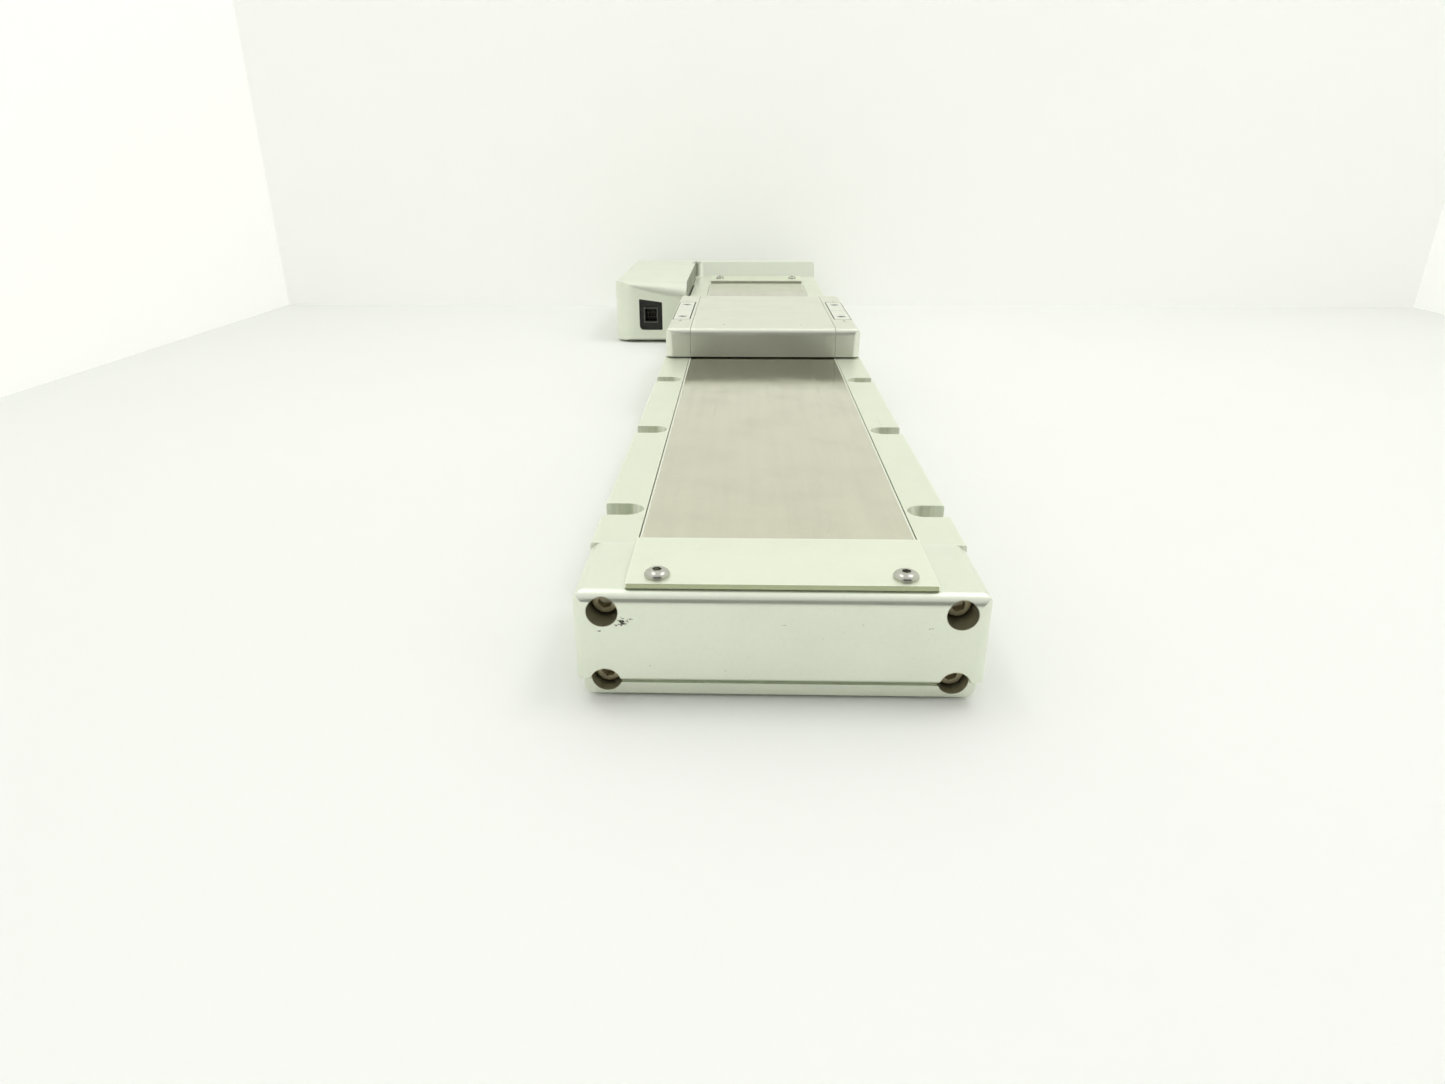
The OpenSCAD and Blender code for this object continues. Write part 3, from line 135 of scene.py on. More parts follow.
def pixel_ray(x, y):
    """Start and direction of the ray through a point of the photograph."""
    lens = camera.data
    seen = Vector((
        x - W / 2 + lens.shift_x * L,
        H / 2 - y + lens.shift_y * L,
        -L * lens.lens / lens.sensor_width,
    ))
    return camera.matrix_world.translation, (camera.matrix_world.to_3x3() @ seen).normalized()


def pixel_of(place):
    """Where a place in the frame shows in the photograph."""
    seen = camera.matrix_world.inverted() @ Vector(place)
    reach = L * camera.data.lens / camera.data.sensor_width
    return W / 2 + reach * seen.x / -seen.z, H / 2 - reach * seen.y / -seen.z


def on_surface(point, carrier):
    """Where the ray through an image point meets a finished piece, or its nearest place."""
    start, direction = pixel_ray(*POINTS[point])
    tree = BVHTree.FromObject(carrier, bpy.context.evaluated_depsgraph_get())
    place, normal, _, _ = tree.ray_cast(start, direction)
    if place is None:
        middle = Vector(carrier.bound_box[0]).lerp(Vector(carrier.bound_box[6]), 0.5)
        near = start + direction * (middle - start).dot(direction)
        place, normal, _, _ = tree.find_nearest(near)
    return place, normal


# ------------------------------------------------------------- shader building
class Shader:
    """A node tree being built: a material's, or a shared effect's."""

    def __init__(self, tree):
        self.tree = tree

    def add(self, kind, inputs=None, **settings):
        node = self.tree.nodes.new(kind)
        for name, value in settings.items():
            setattr(node, name, value)
        for name, value in (inputs or {}).items():
            self.feed(node.inputs[name], value)
        return node

    def feed(self, socket, value):
        if isinstance(value, bpy.types.NodeSocket):
            self.tree.links.new(value, socket)
        elif socket.type == "RGBA" and len(value) == 3:
            socket.default_value = (*value, 1)
        else:
            socket.default_value = value

    def math(self, operation, a, b=0.0, c=0.0, clamp=False):
        node = self.tree.nodes.new("ShaderNodeMath")
        node.operation = operation
        node.use_clamp = clamp
        for socket, value in zip(node.inputs, (a, b, c)):
            self.feed(socket, value)
        return node.outputs[0]

    def span(self, value, low, high, to_low=0.0, to_high=1.0):
        node = self.add("ShaderNodeMapRange", {
            "Value": value, "From Min": low, "From Max": high, "To Min": to_low, "To Max": to_high,
        })
        return node.outputs["Result"]

    def mix(self, factor, a, b):
        node = self.tree.nodes.new("ShaderNodeMix")
        node.data_type = "RGBA"
        self.feed(node.inputs["Factor"], factor)
        self.feed(node.inputs[6], a)
        self.feed(node.inputs[7], b)
        return node.outputs[2]

    def place(self, scale=(1, 1, 1), shift=(0, 0, 0)):
        """Object coordinates in metres, moved and stretched."""
        at = self.tree.nodes.new("ShaderNodeTexCoord")
        return self.add("ShaderNodeMapping", {
            "Vector": at.outputs["Object"], "Location": shift, "Scale": scale,
        }).outputs["Vector"]

    def axes(self, where):
        """A place's X, Y and Z."""
        return self.add("ShaderNodeSeparateXYZ", {0: where}).outputs

    def noise(self, where, scale, detail=3.0, roughness=0.55):
        return self.add("ShaderNodeTexNoise", {
            "Vector": where, "Scale": scale, "Detail": detail, "Roughness": roughness,
        }).outputs["Fac"]


def shared_effect(name, inputs, outputs):
    """An empty node group with named inputs and outputs."""
    tree = bpy.data.node_groups.new(name, "ShaderNodeTree")
    for label, kind, value in inputs:
        socket = tree.interface.new_socket(label, in_out="INPUT", socket_type=kind)
        socket.default_value = value
    for label, kind in outputs:
        tree.interface.new_socket(label, in_out="OUTPUT", socket_type=kind)
    shader = Shader(tree)
    return tree, shader, shader.add("NodeGroupInput").outputs, shader.add("NodeGroupOutput").inputs


FLOAT = "NodeSocketFloat"
VECTOR = "NodeSocketVector"


def make_handled():
    """Smudges and rubbed places: a broad, soft mask with a fine, broken one in it."""
    tree, s, given, made = shared_effect(
        "handled",
        [("Size", FLOAT, 30.0), ("Amount", FLOAT, 0.5)],
        [("Smudge", FLOAT), ("Specks", FLOAT)],
    )
    where = s.place()
    broad = s.noise(where, given["Size"], 4.0, 0.6)
    fine = s.noise(where, s.math("MULTIPLY", given["Size"], 28.0), 2.0)
    s.feed(made["Smudge"], s.math("MULTIPLY", s.span(broad, 0.42, 0.66), given["Amount"]))
    specks = s.math("MULTIPLY", s.span(fine, 0.69, 0.76), s.span(broad, 0.45, 0.6))
    s.feed(made["Specks"], s.math("MULTIPLY", specks, given["Amount"]))
    return tree


def make_grain():
    """Height and shade of a fine, even grain: blasted metal, paint or moulded skin."""
    tree, s, given, made = shared_effect(
        "fine_grain",
        [("Size", FLOAT, 1500.0), ("Depth", FLOAT, 0.5)],
        [("Height", FLOAT), ("Shade", FLOAT)],
    )
    where = s.place()
    small = s.noise(where, given["Size"], 2.0, 0.5)
    large = s.noise(where, s.math("MULTIPLY", given["Size"], 0.22), 2.0, 0.5)
    both = s.math("ADD", s.math("MULTIPLY", small, 0.65), s.math("MULTIPLY", large, 0.35))
    s.feed(made["Height"], s.math("MULTIPLY", both, given["Depth"]))
    s.feed(made["Shade"], s.span(both, 0.35, 0.65))
    return tree


def make_drawn_lines():
    """Fine lines drawn along the rail: rolled and brushed sheet, drawn bars."""
    tree, s, given, made = shared_effect(
        "drawn_lines",
        [("Fineness", FLOAT, 1.0), ("Break", FLOAT, 0.5)],
        [("Height", FLOAT), ("Scratches", FLOAT)],
    )
    lines = s.add(
        "ShaderNodeVectorMath", {0: s.place((1800, 14, 1800)), 3: given["Fineness"]},
        operation="SCALE",
    )
    drawn = s.noise(lines.outputs[0], 1.0, 3.0, 0.6)
    long = s.noise(s.place((420, 5, 420), (3, 1, 2)), 1.0, 2.0)
    gate = s.noise(s.place((9, 22, 9)), 1.0, 3.0)
    s.feed(made["Height"], drawn)
    marks = s.math("MULTIPLY", s.span(long, 0.66, 0.7), s.span(gate, 0.5, 0.62))
    s.feed(made["Scratches"], s.math("MULTIPLY", marks, given["Break"]))
    return tree


def make_rub_mark():
    """A dark, broken rub mark round one place: how strongly it shows."""
    tree, s, given, made = shared_effect(
        "rub_mark",
        [("X", FLOAT, 0.0), ("Y", FLOAT, 0.0), ("Z", FLOAT, 0.0), ("Length", FLOAT, 0.01),
         ("Height", FLOAT, 0.006), ("Density", FLOAT, 0.5)],
        [("Mask", FLOAT)],
    )
    at = s.axes(s.place())
    across = s.math("DIVIDE", s.math("SUBTRACT", at["X"], given["X"]), given["Length"])
    along = s.math("DIVIDE", s.math("SUBTRACT", at["Y"], given["Y"]), given["Length"])
    up = s.math("DIVIDE", s.math("SUBTRACT", at["Z"], given["Z"]), given["Height"])
    level = s.math("ADD", s.math("MULTIPLY", across, across), s.math("MULTIPLY", along, along))
    away = s.math("SQRT", s.math("ADD", level, s.math("MULTIPLY", up, up)))
    near = s.span(away, 1.0, 0.15)
    broken = s.noise(s.place((1.0, 1.0, 1.3)), 1150.0, 4.0, 0.7)
    dense = s.math("MULTIPLY", near, given["Density"])
    edge = s.math("SUBTRACT", 0.78, s.math("MULTIPLY", dense, 0.5))
    mask = s.math("MULTIPLY", s.math("GREATER_THAN", broken, edge), near, clamp=True)
    s.feed(made["Mask"], mask)
    return tree


def make_worn_and_highlit_edges():
    """Edges of a box-like piece, for wear and for a painted highlight: near two of its box's sides
    at once, and broken.
    """
    tree, s, given, made = shared_effect(
        "worn_and_highlit_edges",
        [("Low", VECTOR, (0, 0, 0)), ("High", VECTOR, (1, 1, 1)), ("Width", FLOAT, 0.0008),
         ("Amount", FLOAT, 0.6)],
        [("Mask", FLOAT)],
    )
    where = s.place()
    above = s.add("ShaderNodeVectorMath", {0: where, 1: given["Low"]}, operation="SUBTRACT")
    below = s.add("ShaderNodeVectorMath", {0: given["High"], 1: where}, operation="SUBTRACT")
    nearer = s.add(
        "ShaderNodeVectorMath", {0: above.outputs[0], 1: below.outputs[0]}, operation="MINIMUM",
    )
    a, b, c = s.axes(nearer.outputs[0])
    least = s.math("MINIMUM", a, b)
    second = s.math("MAXIMUM", least, s.math("MINIMUM", s.math("MAXIMUM", a, b), c))
    ragged = s.math(
        "MULTIPLY", s.noise(where, 260.0, 3.0), s.math("MULTIPLY", given["Width"], 2.0),
    )
    near = s.math("LESS_THAN", second, ragged)
    inside = s.math("GREATER_THAN", s.math("MINIMUM", least, c), -0.1 * MM)
    s.feed(made["Mask"], s.math("MULTIPLY", s.math("MULTIPLY", near, inside), given["Amount"]))
    return tree


def make_milling():
    """Streaks that a cutter leaves on an upright wall, lighter and darker in turn."""
    tree, s, given, made = shared_effect(
        "milling", [("Fineness", FLOAT, 700.0)], [("Streak", FLOAT), ("Height", FLOAT)]
    )
    flat = s.add(
        "ShaderNodeVectorMath", {0: s.place((1, 1, 0.04)), 3: given["Fineness"]}, operation="SCALE",
    )
    streak = s.noise(flat.outputs[0], 1.0, 3.0, 0.6)
    s.feed(made["Streak"], s.span(streak, 0.36, 0.64))
    s.feed(made["Height"], streak)
    return tree


def make_thread():
    """A helical groove round an axis along Y: a rolled thread's height."""
    tree, s, given, made = shared_effect(
        "rolled_thread",
        [("X", FLOAT, 0.0), ("Z", FLOAT, 0.0), ("Lead", FLOAT, 0.005)],
        [("Groove", FLOAT)],
    )
    at = s.axes(s.place())
    across = s.math("SUBTRACT", at["X"], given["X"])
    turn = s.math("ARCTAN2", s.math("SUBTRACT", at["Z"], given["Z"]), across)
    turns = s.math("DIVIDE", turn, 2 * math.pi)
    phase = s.math("ADD", s.math("DIVIDE", at["Y"], given["Lead"]), turns)
    s.feed(made["Groove"], s.math("PINGPONG", phase, 0.5))
    return tree


def make_footprint():
    """How far a place lies outside an upright box, seen from above: below zero inside it."""
    tree, s, given, made = shared_effect(
        "footprint",
        [("X", FLOAT, 0.0), ("Y", FLOAT, 0.0), ("Half X", FLOAT, 0.01), ("Half Y", FLOAT, 0.01)],
        [("Outside", FLOAT)],
    )
    at = s.axes(s.place())
    sides = []
    for axis in ("X", "Y"):
        away = s.math("ABSOLUTE", s.math("SUBTRACT", at[axis], given[axis]))
        sides.append(s.math("SUBTRACT", away, given["Half " + axis]))
    s.feed(made["Outside"], s.math("MAXIMUM", *sides))
    return tree


EFFECTS = {
    "handled": make_handled(),
    "fine_grain": make_grain(),
    "drawn_lines": make_drawn_lines(),
    "rub_mark": make_rub_mark(),
    "worn_and_highlit_edges": make_worn_and_highlit_edges(),
    "milling": make_milling(),
    "rolled_thread": make_thread(),
    "footprint": make_footprint(),
}


def srgb(r, g, b):
    """A colour picked from the photograph, 0 to 255, as light."""
    return tuple(((c / 255 + 0.055) / 1.055) ** 2.4 if c > 10 else c / 3294.6 for c in (r, g, b))


# Painted shade on the pads' sides and on the side covers round the pads
GAP_SHADE = srgb(70, 72, 58)
BARE_EDGE = srgb(240, 242, 232)
# A pale painted highlight on the edges of the connector's rim
PAINTED_RIM_HIGHLIGHT = srgb(112, 112, 102)
METAL_DIRT = (0.25, 0.25, 0.22)
PAINT = srgb(232, 237, 221)
PAINT_FLAKE = srgb(212, 218, 201)
PAINT_SMUDGE = srgb(208, 213, 196)
PAINT_DIRT = srgb(96, 96, 84)
PAINT_EDGE = srgb(238, 240, 230)
# Painted shade on the drive cover
PAINT_SHADE = srgb(84, 88, 72)
RUB_DARK = srgb(62, 62, 54)
# A darker tone in the end cap's bores: bare metal, and partly painted shade
BORE_BARE_AND_SHADED = srgb(194, 192, 170)


def scaled(colour, factor):
    return tuple(c * factor for c in colour)


def effect(s, name, **values):
    group = s.tree.nodes.new("ShaderNodeGroup")
    group.node_tree = EFFECTS[name]
    for label, value in values.items():
        s.feed(group.inputs[label.replace("_", " ")], value)
    return group.outputs


def new_material(name, metallic, **constants):
    """A material with its Principled shader; constants go straight onto its sockets."""
    material = bpy.data.materials.new(name)
    material.use_nodes = True
    tree = material.node_tree
    shader = tree.nodes["Principled BSDF"]
    shader.inputs["Metallic"].default_value = metallic
    for label, value in constants.items():
        shader.inputs[label.replace("_", " ")].default_value = value
    return material, Shader(tree), shader.inputs


def bump(s, inputs, height, strength, distance):
    node = s.add("ShaderNodeBump", {"Height": height, "Strength": strength, "Distance": distance})
    s.feed(inputs["Normal"], node.outputs["Normal"])


def footprint(s, box):
    low, high = box
    middle, half = (low + high) / 2, (high - low) / 2
    return effect(s, "footprint", X=middle.x, Y=middle.y, Half_X=half.x, Half_Y=half.y)["Outside"]


def edges_worn_and_highlit(s, base, box, amount, tone, width=0.8):
    """The base colour with the edges of the box turned to another tone: wear, and on the
    connector's rim a painted highlight.
    """
    worn = effect(s, "worn_and_highlit_edges", Low=box[0], High=box[1], Width=width * MM, Amount=amount)
    return s.mix(worn["Mask"], base, tone)


def metal(
    name, colour, roughness, metallic=1.0, grain=1400.0, drawn=0.0, smudges=0.25, smears=0.0,
    box=None, cut=None, gap=None, milled=False, thread=None,
):
    """Bare or anodised metal: a fine grain or drawn lines, smudges and small specks, and smears
    along the rail. The box is the piece's own, for its worn edges; cut is a tone of painted shade
    on its sides; gap is a box round which the piece gets painted shade; milled streaks the walls
    inside the piece's outline; thread is an axis's x and z and a lead."""
    material, s, inputs = new_material(name, metallic)
    handled = effect(s, "handled", Size=38.0, Amount=smudges)
    grains = effect(s, "fine_grain", Size=grain, Depth=0.6)
    dull = scaled(colour, 0.86)
    base = s.mix(s.math("MULTIPLY", handled["Smudge"], 0.6), colour, dull)
    base = s.mix(s.math("MULTIPLY", grains["Shade"], 0.12), base, dull)
    base = s.mix(s.math("MULTIPLY", handled["Specks"], 0.8), base, METAL_DIRT)
    rough = s.math("ADD", s.math("MULTIPLY", handled["Smudge"], 0.12), roughness)
    height = grains["Height"]
    if drawn:
        lines = effect(s, "drawn_lines", Fineness=1.0, Break=0.6)
        grain_left = s.math("MULTIPLY", height, 0.3)
        height = s.math("ADD", s.math("MULTIPLY", lines["Height"], drawn), grain_left)
        base = s.mix(s.math("MULTIPLY", lines["Scratches"], 0.35), base, dull)
        rough = s.math("ADD", rough, s.math("MULTIPLY", lines["Scratches"], 0.15))
    if smears:
        streaks = s.noise(s.place((150, 9, 1)), 1.0, 3.0, 0.6)
        darker = s.math("MULTIPLY", s.span(streaks, 0.35, 0.7), smears)
        rougher = s.math("MULTIPLY", s.span(streaks, 0.4, 0.75), smears * 0.4)
        base = s.mix(darker, base, scaled(colour, 0.7))
        rough = s.math("ADD", rough, rougher)
    if milled:
        top = box[1].z
        below = s.span(s.axes(s.place())["Z"], top - 0.2 * MM, top - 0.5 * MM)
        inner = s.math("MULTIPLY", s.span(footprint(s, box), -0.12 * MM, -0.2 * MM), below)
        cutter = effect(s, "milling", Fineness=700.0)
        streaked = s.math("MULTIPLY", inner, s.math("MULTIPLY", cutter["Streak"], 0.5))
        base = s.mix(streaked, base, scaled(colour, 0.72))
        height = s.math("ADD", height, s.math("MULTIPLY", cutter["Height"], inner))
    if thread:
        x, z, lead = thread
        groove = effect(s, "rolled_thread", X=x, Z=z, Lead=lead)["Groove"]
        height = s.math("ADD", s.math("MULTIPLY", groove, 6.0), height)
        base = s.mix(s.span(groove, 0.12, 0.02), base, dull)
    if box:
        base = edges_worn_and_highlit(s, base, box, 0.3, BARE_EDGE)
    # cut: painted shade on the piece's sides
    if cut:
        base = s.mix(s.span(footprint(s, box), -0.14 * MM, -0.06 * MM), base, cut)
    # gap: painted shade on the piece round the gap's box
    if gap:
        base = s.mix(s.span(footprint(s, gap), 0.08 * MM, 0.03 * MM), base, GAP_SHADE)
    s.feed(inputs["Base Color"], base)
    s.feed(inputs["Roughness"], rough)
    bump(s, inputs, height, 0.25, 0.12 * MM)
    return material


def moulding(
    name, colour, roughness=0.5, grain=1100.0, depth=0.3, smudges=0.3, box=None, rim=None,
):
    """Moulded plastic or rubber with a fine skin and handling marks; a rim is a box whose edges get
    a pale painted highlight."""
    material, s, inputs = new_material(name, 0.0)
    handled = effect(s, "handled", Size=26.0, Amount=smudges)
    skin = effect(s, "fine_grain", Size=grain, Depth=1.0)
    worn = scaled(colour, 0.82)
    base = s.mix(s.math("MULTIPLY", handled["Smudge"], 0.5), colour, worn)
    base = s.mix(s.math("MULTIPLY", skin["Shade"], 0.1), base, worn)
    if box:
        paler = tuple(min(c * 1.25 + 0.01, 0.9) for c in colour)
        base = edges_worn_and_highlit(s, base, box, 0.25, paler)
    # The rim's edges: a painted highlight
    if rim:
        base = edges_worn_and_highlit(s, base, rim, 0.5, PAINTED_RIM_HIGHLIGHT)
    rough = s.math("ADD", s.math("MULTIPLY", handled["Smudge"], 0.15), roughness)
    s.feed(inputs["Base Color"], base)
    s.feed(inputs["Roughness"], rough)
    bump(s, inputs, skin["Height"], depth, 0.15 * MM)
    return material


def painted_casting(name, marks=(), bores=(), box=None, shaded=(), metallic=0.8):
    """Silver paint with a fine flake over a cast skin, with dark rub marks and a darker tone in the
    bores, for bare metal and partly painted shade; shaded holds boxes, each with its softness,
    where a wall gets painted shade."""
    material, s, inputs = new_material(name, metallic)
    handled = effect(s, "handled", Size=30.0, Amount=0.35)
    flake = effect(s, "fine_grain", Size=2600.0, Depth=0.7)
    base = s.mix(s.math("MULTIPLY", flake["Shade"], 0.2), PAINT, PAINT_FLAKE)
    base = s.mix(s.math("MULTIPLY", handled["Smudge"], 0.35), base, PAINT_SMUDGE)
    base = s.mix(s.math("MULTIPLY", handled["Specks"], 0.6), base, PAINT_DIRT)
    if box:
        base = edges_worn_and_highlit(s, base, box, 0.25, PAINT_EDGE)
    # Painted shade in each of the shaded boxes
    for low, high, soft in shaded:
        near = s.span(footprint(s, (low, high)), soft, 0.0)
        above = s.span(s.axes(s.place())["Z"], low.z, low.z + 2 * MM)
        base = s.mix(s.math("MULTIPLY", s.math("MULTIPLY", near, above), 0.85), base, PAINT_SHADE)
    for mark in marks:
        rubbed = effect(s, "rub_mark", **mark)
        base = s.mix(rubbed["Mask"], base, RUB_DARK)
    # Bores: a darker tone for bare metal, partly painted shade
    for x, z in bores:
        at = s.axes(s.place(shift=(-x, 0, -z)))
        squares = [s.math("POWER", at[axis], 2.0) for axis in ("X", "Z")]
        away = s.math("SQRT", s.math("ADD", *squares))
        base = s.mix(s.span(away, BORE_R + 0.3 * MM, BORE_R), base, BORE_BARE_AND_SHADED)
    s.feed(inputs["Base Color"], base)
    s.feed(inputs["Roughness"], s.math("ADD", s.math("MULTIPLY", handled["Smudge"], 0.12), 0.33))
    bump(s, inputs, flake["Height"], 0.3, 0.12 * MM)
    return material


# ------------------------------------------------------------- piece building
SAME_PLACE = 1e-6
# Reach of the rounding round the foot of what stands on the floor, in millimetres
STANDING = {"front_end_cap": 0.6, "drive_cover": 2.0}
SLIDER_CORNER_R = 5.0 * MM
SLIDER_EDGE_R = 3.0 * MM
SLIDER_SKIN = 1.9 * MM
SLIDER_OUTER = 0.3 * MM
SLIDER_EDGE_STRETCH = 1.6


def mesh_of(name, work):
    """What has been built, as a mesh of its own."""
    mesh = bpy.data.meshes.new(name)
    work.to_mesh(mesh)
    work.free()
    return mesh


def join_rings(work, rings):
    """Walls between rings of corners that follow each other."""
    for low, high in zip(rings, rings[1:]):
        for i, corner in enumerate(low):
            after = (i + 1) % len(low)
            work.faces.new((corner, low[after], high[after], high[i]))


def merged_mesh(name, source):
    """A CAD node's triangles as one mesh with shared corners and flat faces rejoined."""
    work = bmesh.new()
    work.from_mesh(source.data)
    bmesh.ops.remove_doubles(work, verts=work.verts, dist=SAME_PLACE)
    bmesh.ops.dissolve_limit(
        work, angle_limit=math.radians(0.4), verts=work.verts, edges=work.edges,
    )
    return mesh_of(name, work)


def plain_mesh(piece):
    """The piece with its modifiers worked into its mesh."""
    shown = piece.evaluated_get(bpy.context.evaluated_depsgraph_get())
    mesh = bpy.data.meshes.new_from_object(shown)
    piece.modifiers.clear()
    piece.data = mesh
    return piece


def smooth(piece, angle=32.0):
    piece.data.shade_smooth()
    piece.data.set_sharp_from_angle(angle=math.radians(angle))
    return piece


def paint(piece, material):
    piece.data.materials.clear()
    piece.data.materials.append(material)
    return piece


def add_piece(name, mesh, slot, body, replaces=()):
    piece = new_object(name, mesh)
    paint(piece, FINISH[slot])
    if body:
        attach(piece, body)
    if replaces:
        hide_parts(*replaces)
    return piece


def eased_foot(mesh, reach):
    """Rounds the edges round the mesh's lowest face."""
    work = bmesh.new()
    work.from_mesh(mesh)
    lowest = min(v.co.z for v in work.verts)
    foot = [e for e in work.edges if all(v.co.z < lowest + 0.01 * MM for v in e.verts)]
    bmesh.ops.bevel(
        work, geom=foot, offset=reach, segments=3, profile=0.5, affect="EDGES", clamp_overlap=True,
    )
    work.to_mesh(mesh)
    work.free()


def softened_top(mesh, node):
    """Makes the rounding of the slider's top edges taller than it is deep, on the outer skin."""
    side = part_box("slider_side_cover_right")[1].x
    low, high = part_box(node)
    half_x = side - SLIDER_CORNER_R
    half_y = (high.y - low.y) / 2 - SLIDER_CORNER_R
    middle_y = (low.y + high.y) / 2
    for vertex in mesh.vertices:
        x, y = abs(vertex.co.x) - half_x, abs(vertex.co.y - middle_y) - half_y
        outside = math.hypot(max(x, 0), max(y, 0)) + min(max(x, y), 0) - SLIDER_CORNER_R
        down = high.z - vertex.co.z
        on_skin = down < SLIDER_SKIN or outside > -SLIDER_OUTER
        if down < SLIDER_EDGE_R + SAME_PLACE and on_skin:
            vertex.co.z = high.z - down * SLIDER_EDGE_STRETCH


def eased_copy(node, edge):
    """The CAD node again, with its sharp edges eased by so many millimetres."""
    source = nodes[node]
    mesh = merged_mesh(node + "_eased", source)
    if node in STANDING:
        eased_foot(mesh, STANDING[node] * MM)
    if node.startswith("slider_"):
        softened_top(mesh, node)
    piece = add_piece(node + "_eased", mesh, SLOT_OF[node], source["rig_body"], [node])
    bevel = piece.modifiers.new("ease", "BEVEL")
    bevel.width = edge * MM
    bevel.segments = 2
    bevel.limit_method = "ANGLE"
    bevel.angle_limit = math.radians(28.0)
    bevel.use_clamp_overlap = True
    plain_mesh(piece)
    smooth(piece, 40.0)
    level = piece.modifiers.new("level", "WEIGHTED_NORMAL")
    level.weight = 100
    level.keep_sharp = True
    return plain_mesh(piece)


def islands(node):
    """The boxes of a CAD node's separate solids, each as its lowest and highest corner."""
    work = bmesh.new()
    work.from_mesh(nodes[node].data)
    bmesh.ops.remove_doubles(work, verts=work.verts, dist=SAME_PLACE)
    left = set(work.verts)
    boxes = []
    while left:
        reached = [left.pop()]
        for corner in reached:
            for edge in corner.link_edges:
                other = edge.other_vert(corner)
                if other in left:
                    left.remove(other)
                    reached.append(other)
        spread = list(zip(*(corner.co for corner in reached)))
        boxes.append((Vector(map(min, spread)), Vector(map(max, spread))))
    work.free()
    return sorted(boxes, key=lambda box: (round(box[0].y, 4), round(box[0].z, 4), box[0].x))


def axis_of(box):
    """Where the middle line of a box runs that lies along Y: its x and z."""
    low, high = box
    return (low.x + high.x) / 2, (low.z + high.z) / 2


# --------------------------------------------------------------------- finishes
BORE_R = 4.55 * MM
SCREW_LEAD = 10 * MM
# Rub marks on the end cap's face: across and up from the first, length, height and strength
RUB_MARKS = (
    (0, 0, 3.4, 2.8, 0.72), (2.2, 0.9, 1.8, 0.9, 0.6), (-1.6, -1.2, 1.6, 1.0, 0.5),
    (-7.0, -3.0, 2.4, 0.7, 0.6), (46.6, -0.6, 2.2, 0.8, 0.5), (88.4, -1.3, 2.6, 0.9, 0.5),
    (-6.3, -7.3, 0.9, 0.7, 0.4), (15.1, -4.1, 0.8, 0.7, 0.35), (17.3, -7.3, 0.8, 0.6, 0.35),
    (3.7, -13.7, 1.2, 0.9, 0.35), (8.0, -14.4, 1.4, 0.9, 0.35),
)
# Painted shade on the drive cover, behind the front of its hood: the hood's wall beside the rail
# and the corner where it turns. How far to both sides of that wall, from where to where, the lowest
# height, and how softly the shade ends, in millimetres
HOOD_INNER_X = -61.0
HOOD_SHADES = ((0.2, 0.2, 2, 150, 20, 0.1), (0.2, 1.0, 152, 168, 35.5, 4.0))
HOOD_SHADE_TOP = 60.0
# The connector's socket with its rim, whose edges get a painted highlight, and the side covers
# round the pads, which get painted shade
SOCKET_RIM = (1.55, 0.0, 1.75)
SOCKET_DEPTH = 20 * MM
PAD_GAP = (0.5, 0.5, 0.0)
# Each slot's maker, the material's name, colour, roughness and what else the maker needs
MAKERS = {
    "rail_aluminium": (
        metal, "anodised_rail", srgb(229, 234, 216), 0.42, dict(metallic=0.7, drawn=0.35)),
    "bright_plate": (
        metal, "clamp_sheet", srgb(237, 242, 223), 0.34, dict(metallic=0.85, smudges=0.35)),
    "strip_steel": (
        metal, "rolled_strip", srgb(215, 213, 194), 0.09,
        dict(grain=900.0, drawn=0.4, smudges=0.6, smears=0.15)),
    "guide_plastic": (moulding, "strip_guide_skin", srgb(226, 231, 212), 0.45, {}),
    "slider_plastic": (
        metal, "slider_silver", srgb(229, 231, 217), 0.4,
        dict(metallic=0.92, grain=1500.0, smudges=0.45)),
    "pad_aluminium": (
        metal, "machined_pad", srgb(236, 238, 225), 0.28, dict(metallic=0.8, drawn=0.3)),
    "dark_steel": (metal, "blackened_steel", srgb(92, 92, 88), 0.35, dict(smudges=0.5)),
    "bright_steel": (metal, "ground_steel", srgb(190, 191, 190), 0.25, dict(drawn=0.3)),
    "stainless_screw": (metal, "screw_stainless", srgb(186, 186, 176), 0.22, dict(smudges=0.4)),
    "cast_grey": (
        metal, "cast_bracket", srgb(176, 178, 172), 0.55, dict(metallic=0.7, grain=700.0)),
    "black_plastic": (moulding, "black_moulding", srgb(28, 28, 25), 0.5, {}),
    "motor_black": (moulding, "motor_enamel", srgb(34, 34, 36), 0.35, dict(depth=0.15)),
    "contact_brass": (metal, "gold_contact", srgb(84, 78, 60), 0.4, {}),
    "belt_rubber": (moulding, "belt_skin", srgb(36, 36, 34), 0.7, {}),
    "stop_rubber": (moulding, "stop_skin", srgb(52, 52, 50), 0.75, {}),
    "end_cap_green": (moulding, "block_end_skin", srgb(46, 78, 62), 0.45, {}),
    "roller_grey": (moulding, "roller_skin", srgb(150, 150, 144), 0.5, {}),
}


def finish(slot, ending="", **own):
    """A new material of a slot's finish, with what one piece has of its own."""
    if slot == "cast_silver":
        return painted_casting("silver_paint" + ending, **own)
    make, name, colour, roughness, more = MAKERS[slot]
    return make(name + ending, colour, roughness, **more, **own)


FINISH = {slot: finish(slot) for slot in [*MAKERS, "cast_silver"]}
SLOT_OF = {part["node"]: part["material_slot"] for part in record["subparts"]}
for name, node in nodes.items():
    paint(node, FINISH[SLOT_OF[name]])
paint(nodes["ball_screw"], finish(
    SLOT_OF["ball_screw"], "_threaded", thread=(*axis_of(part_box("ball_screw")), SCREW_LEAD),
))


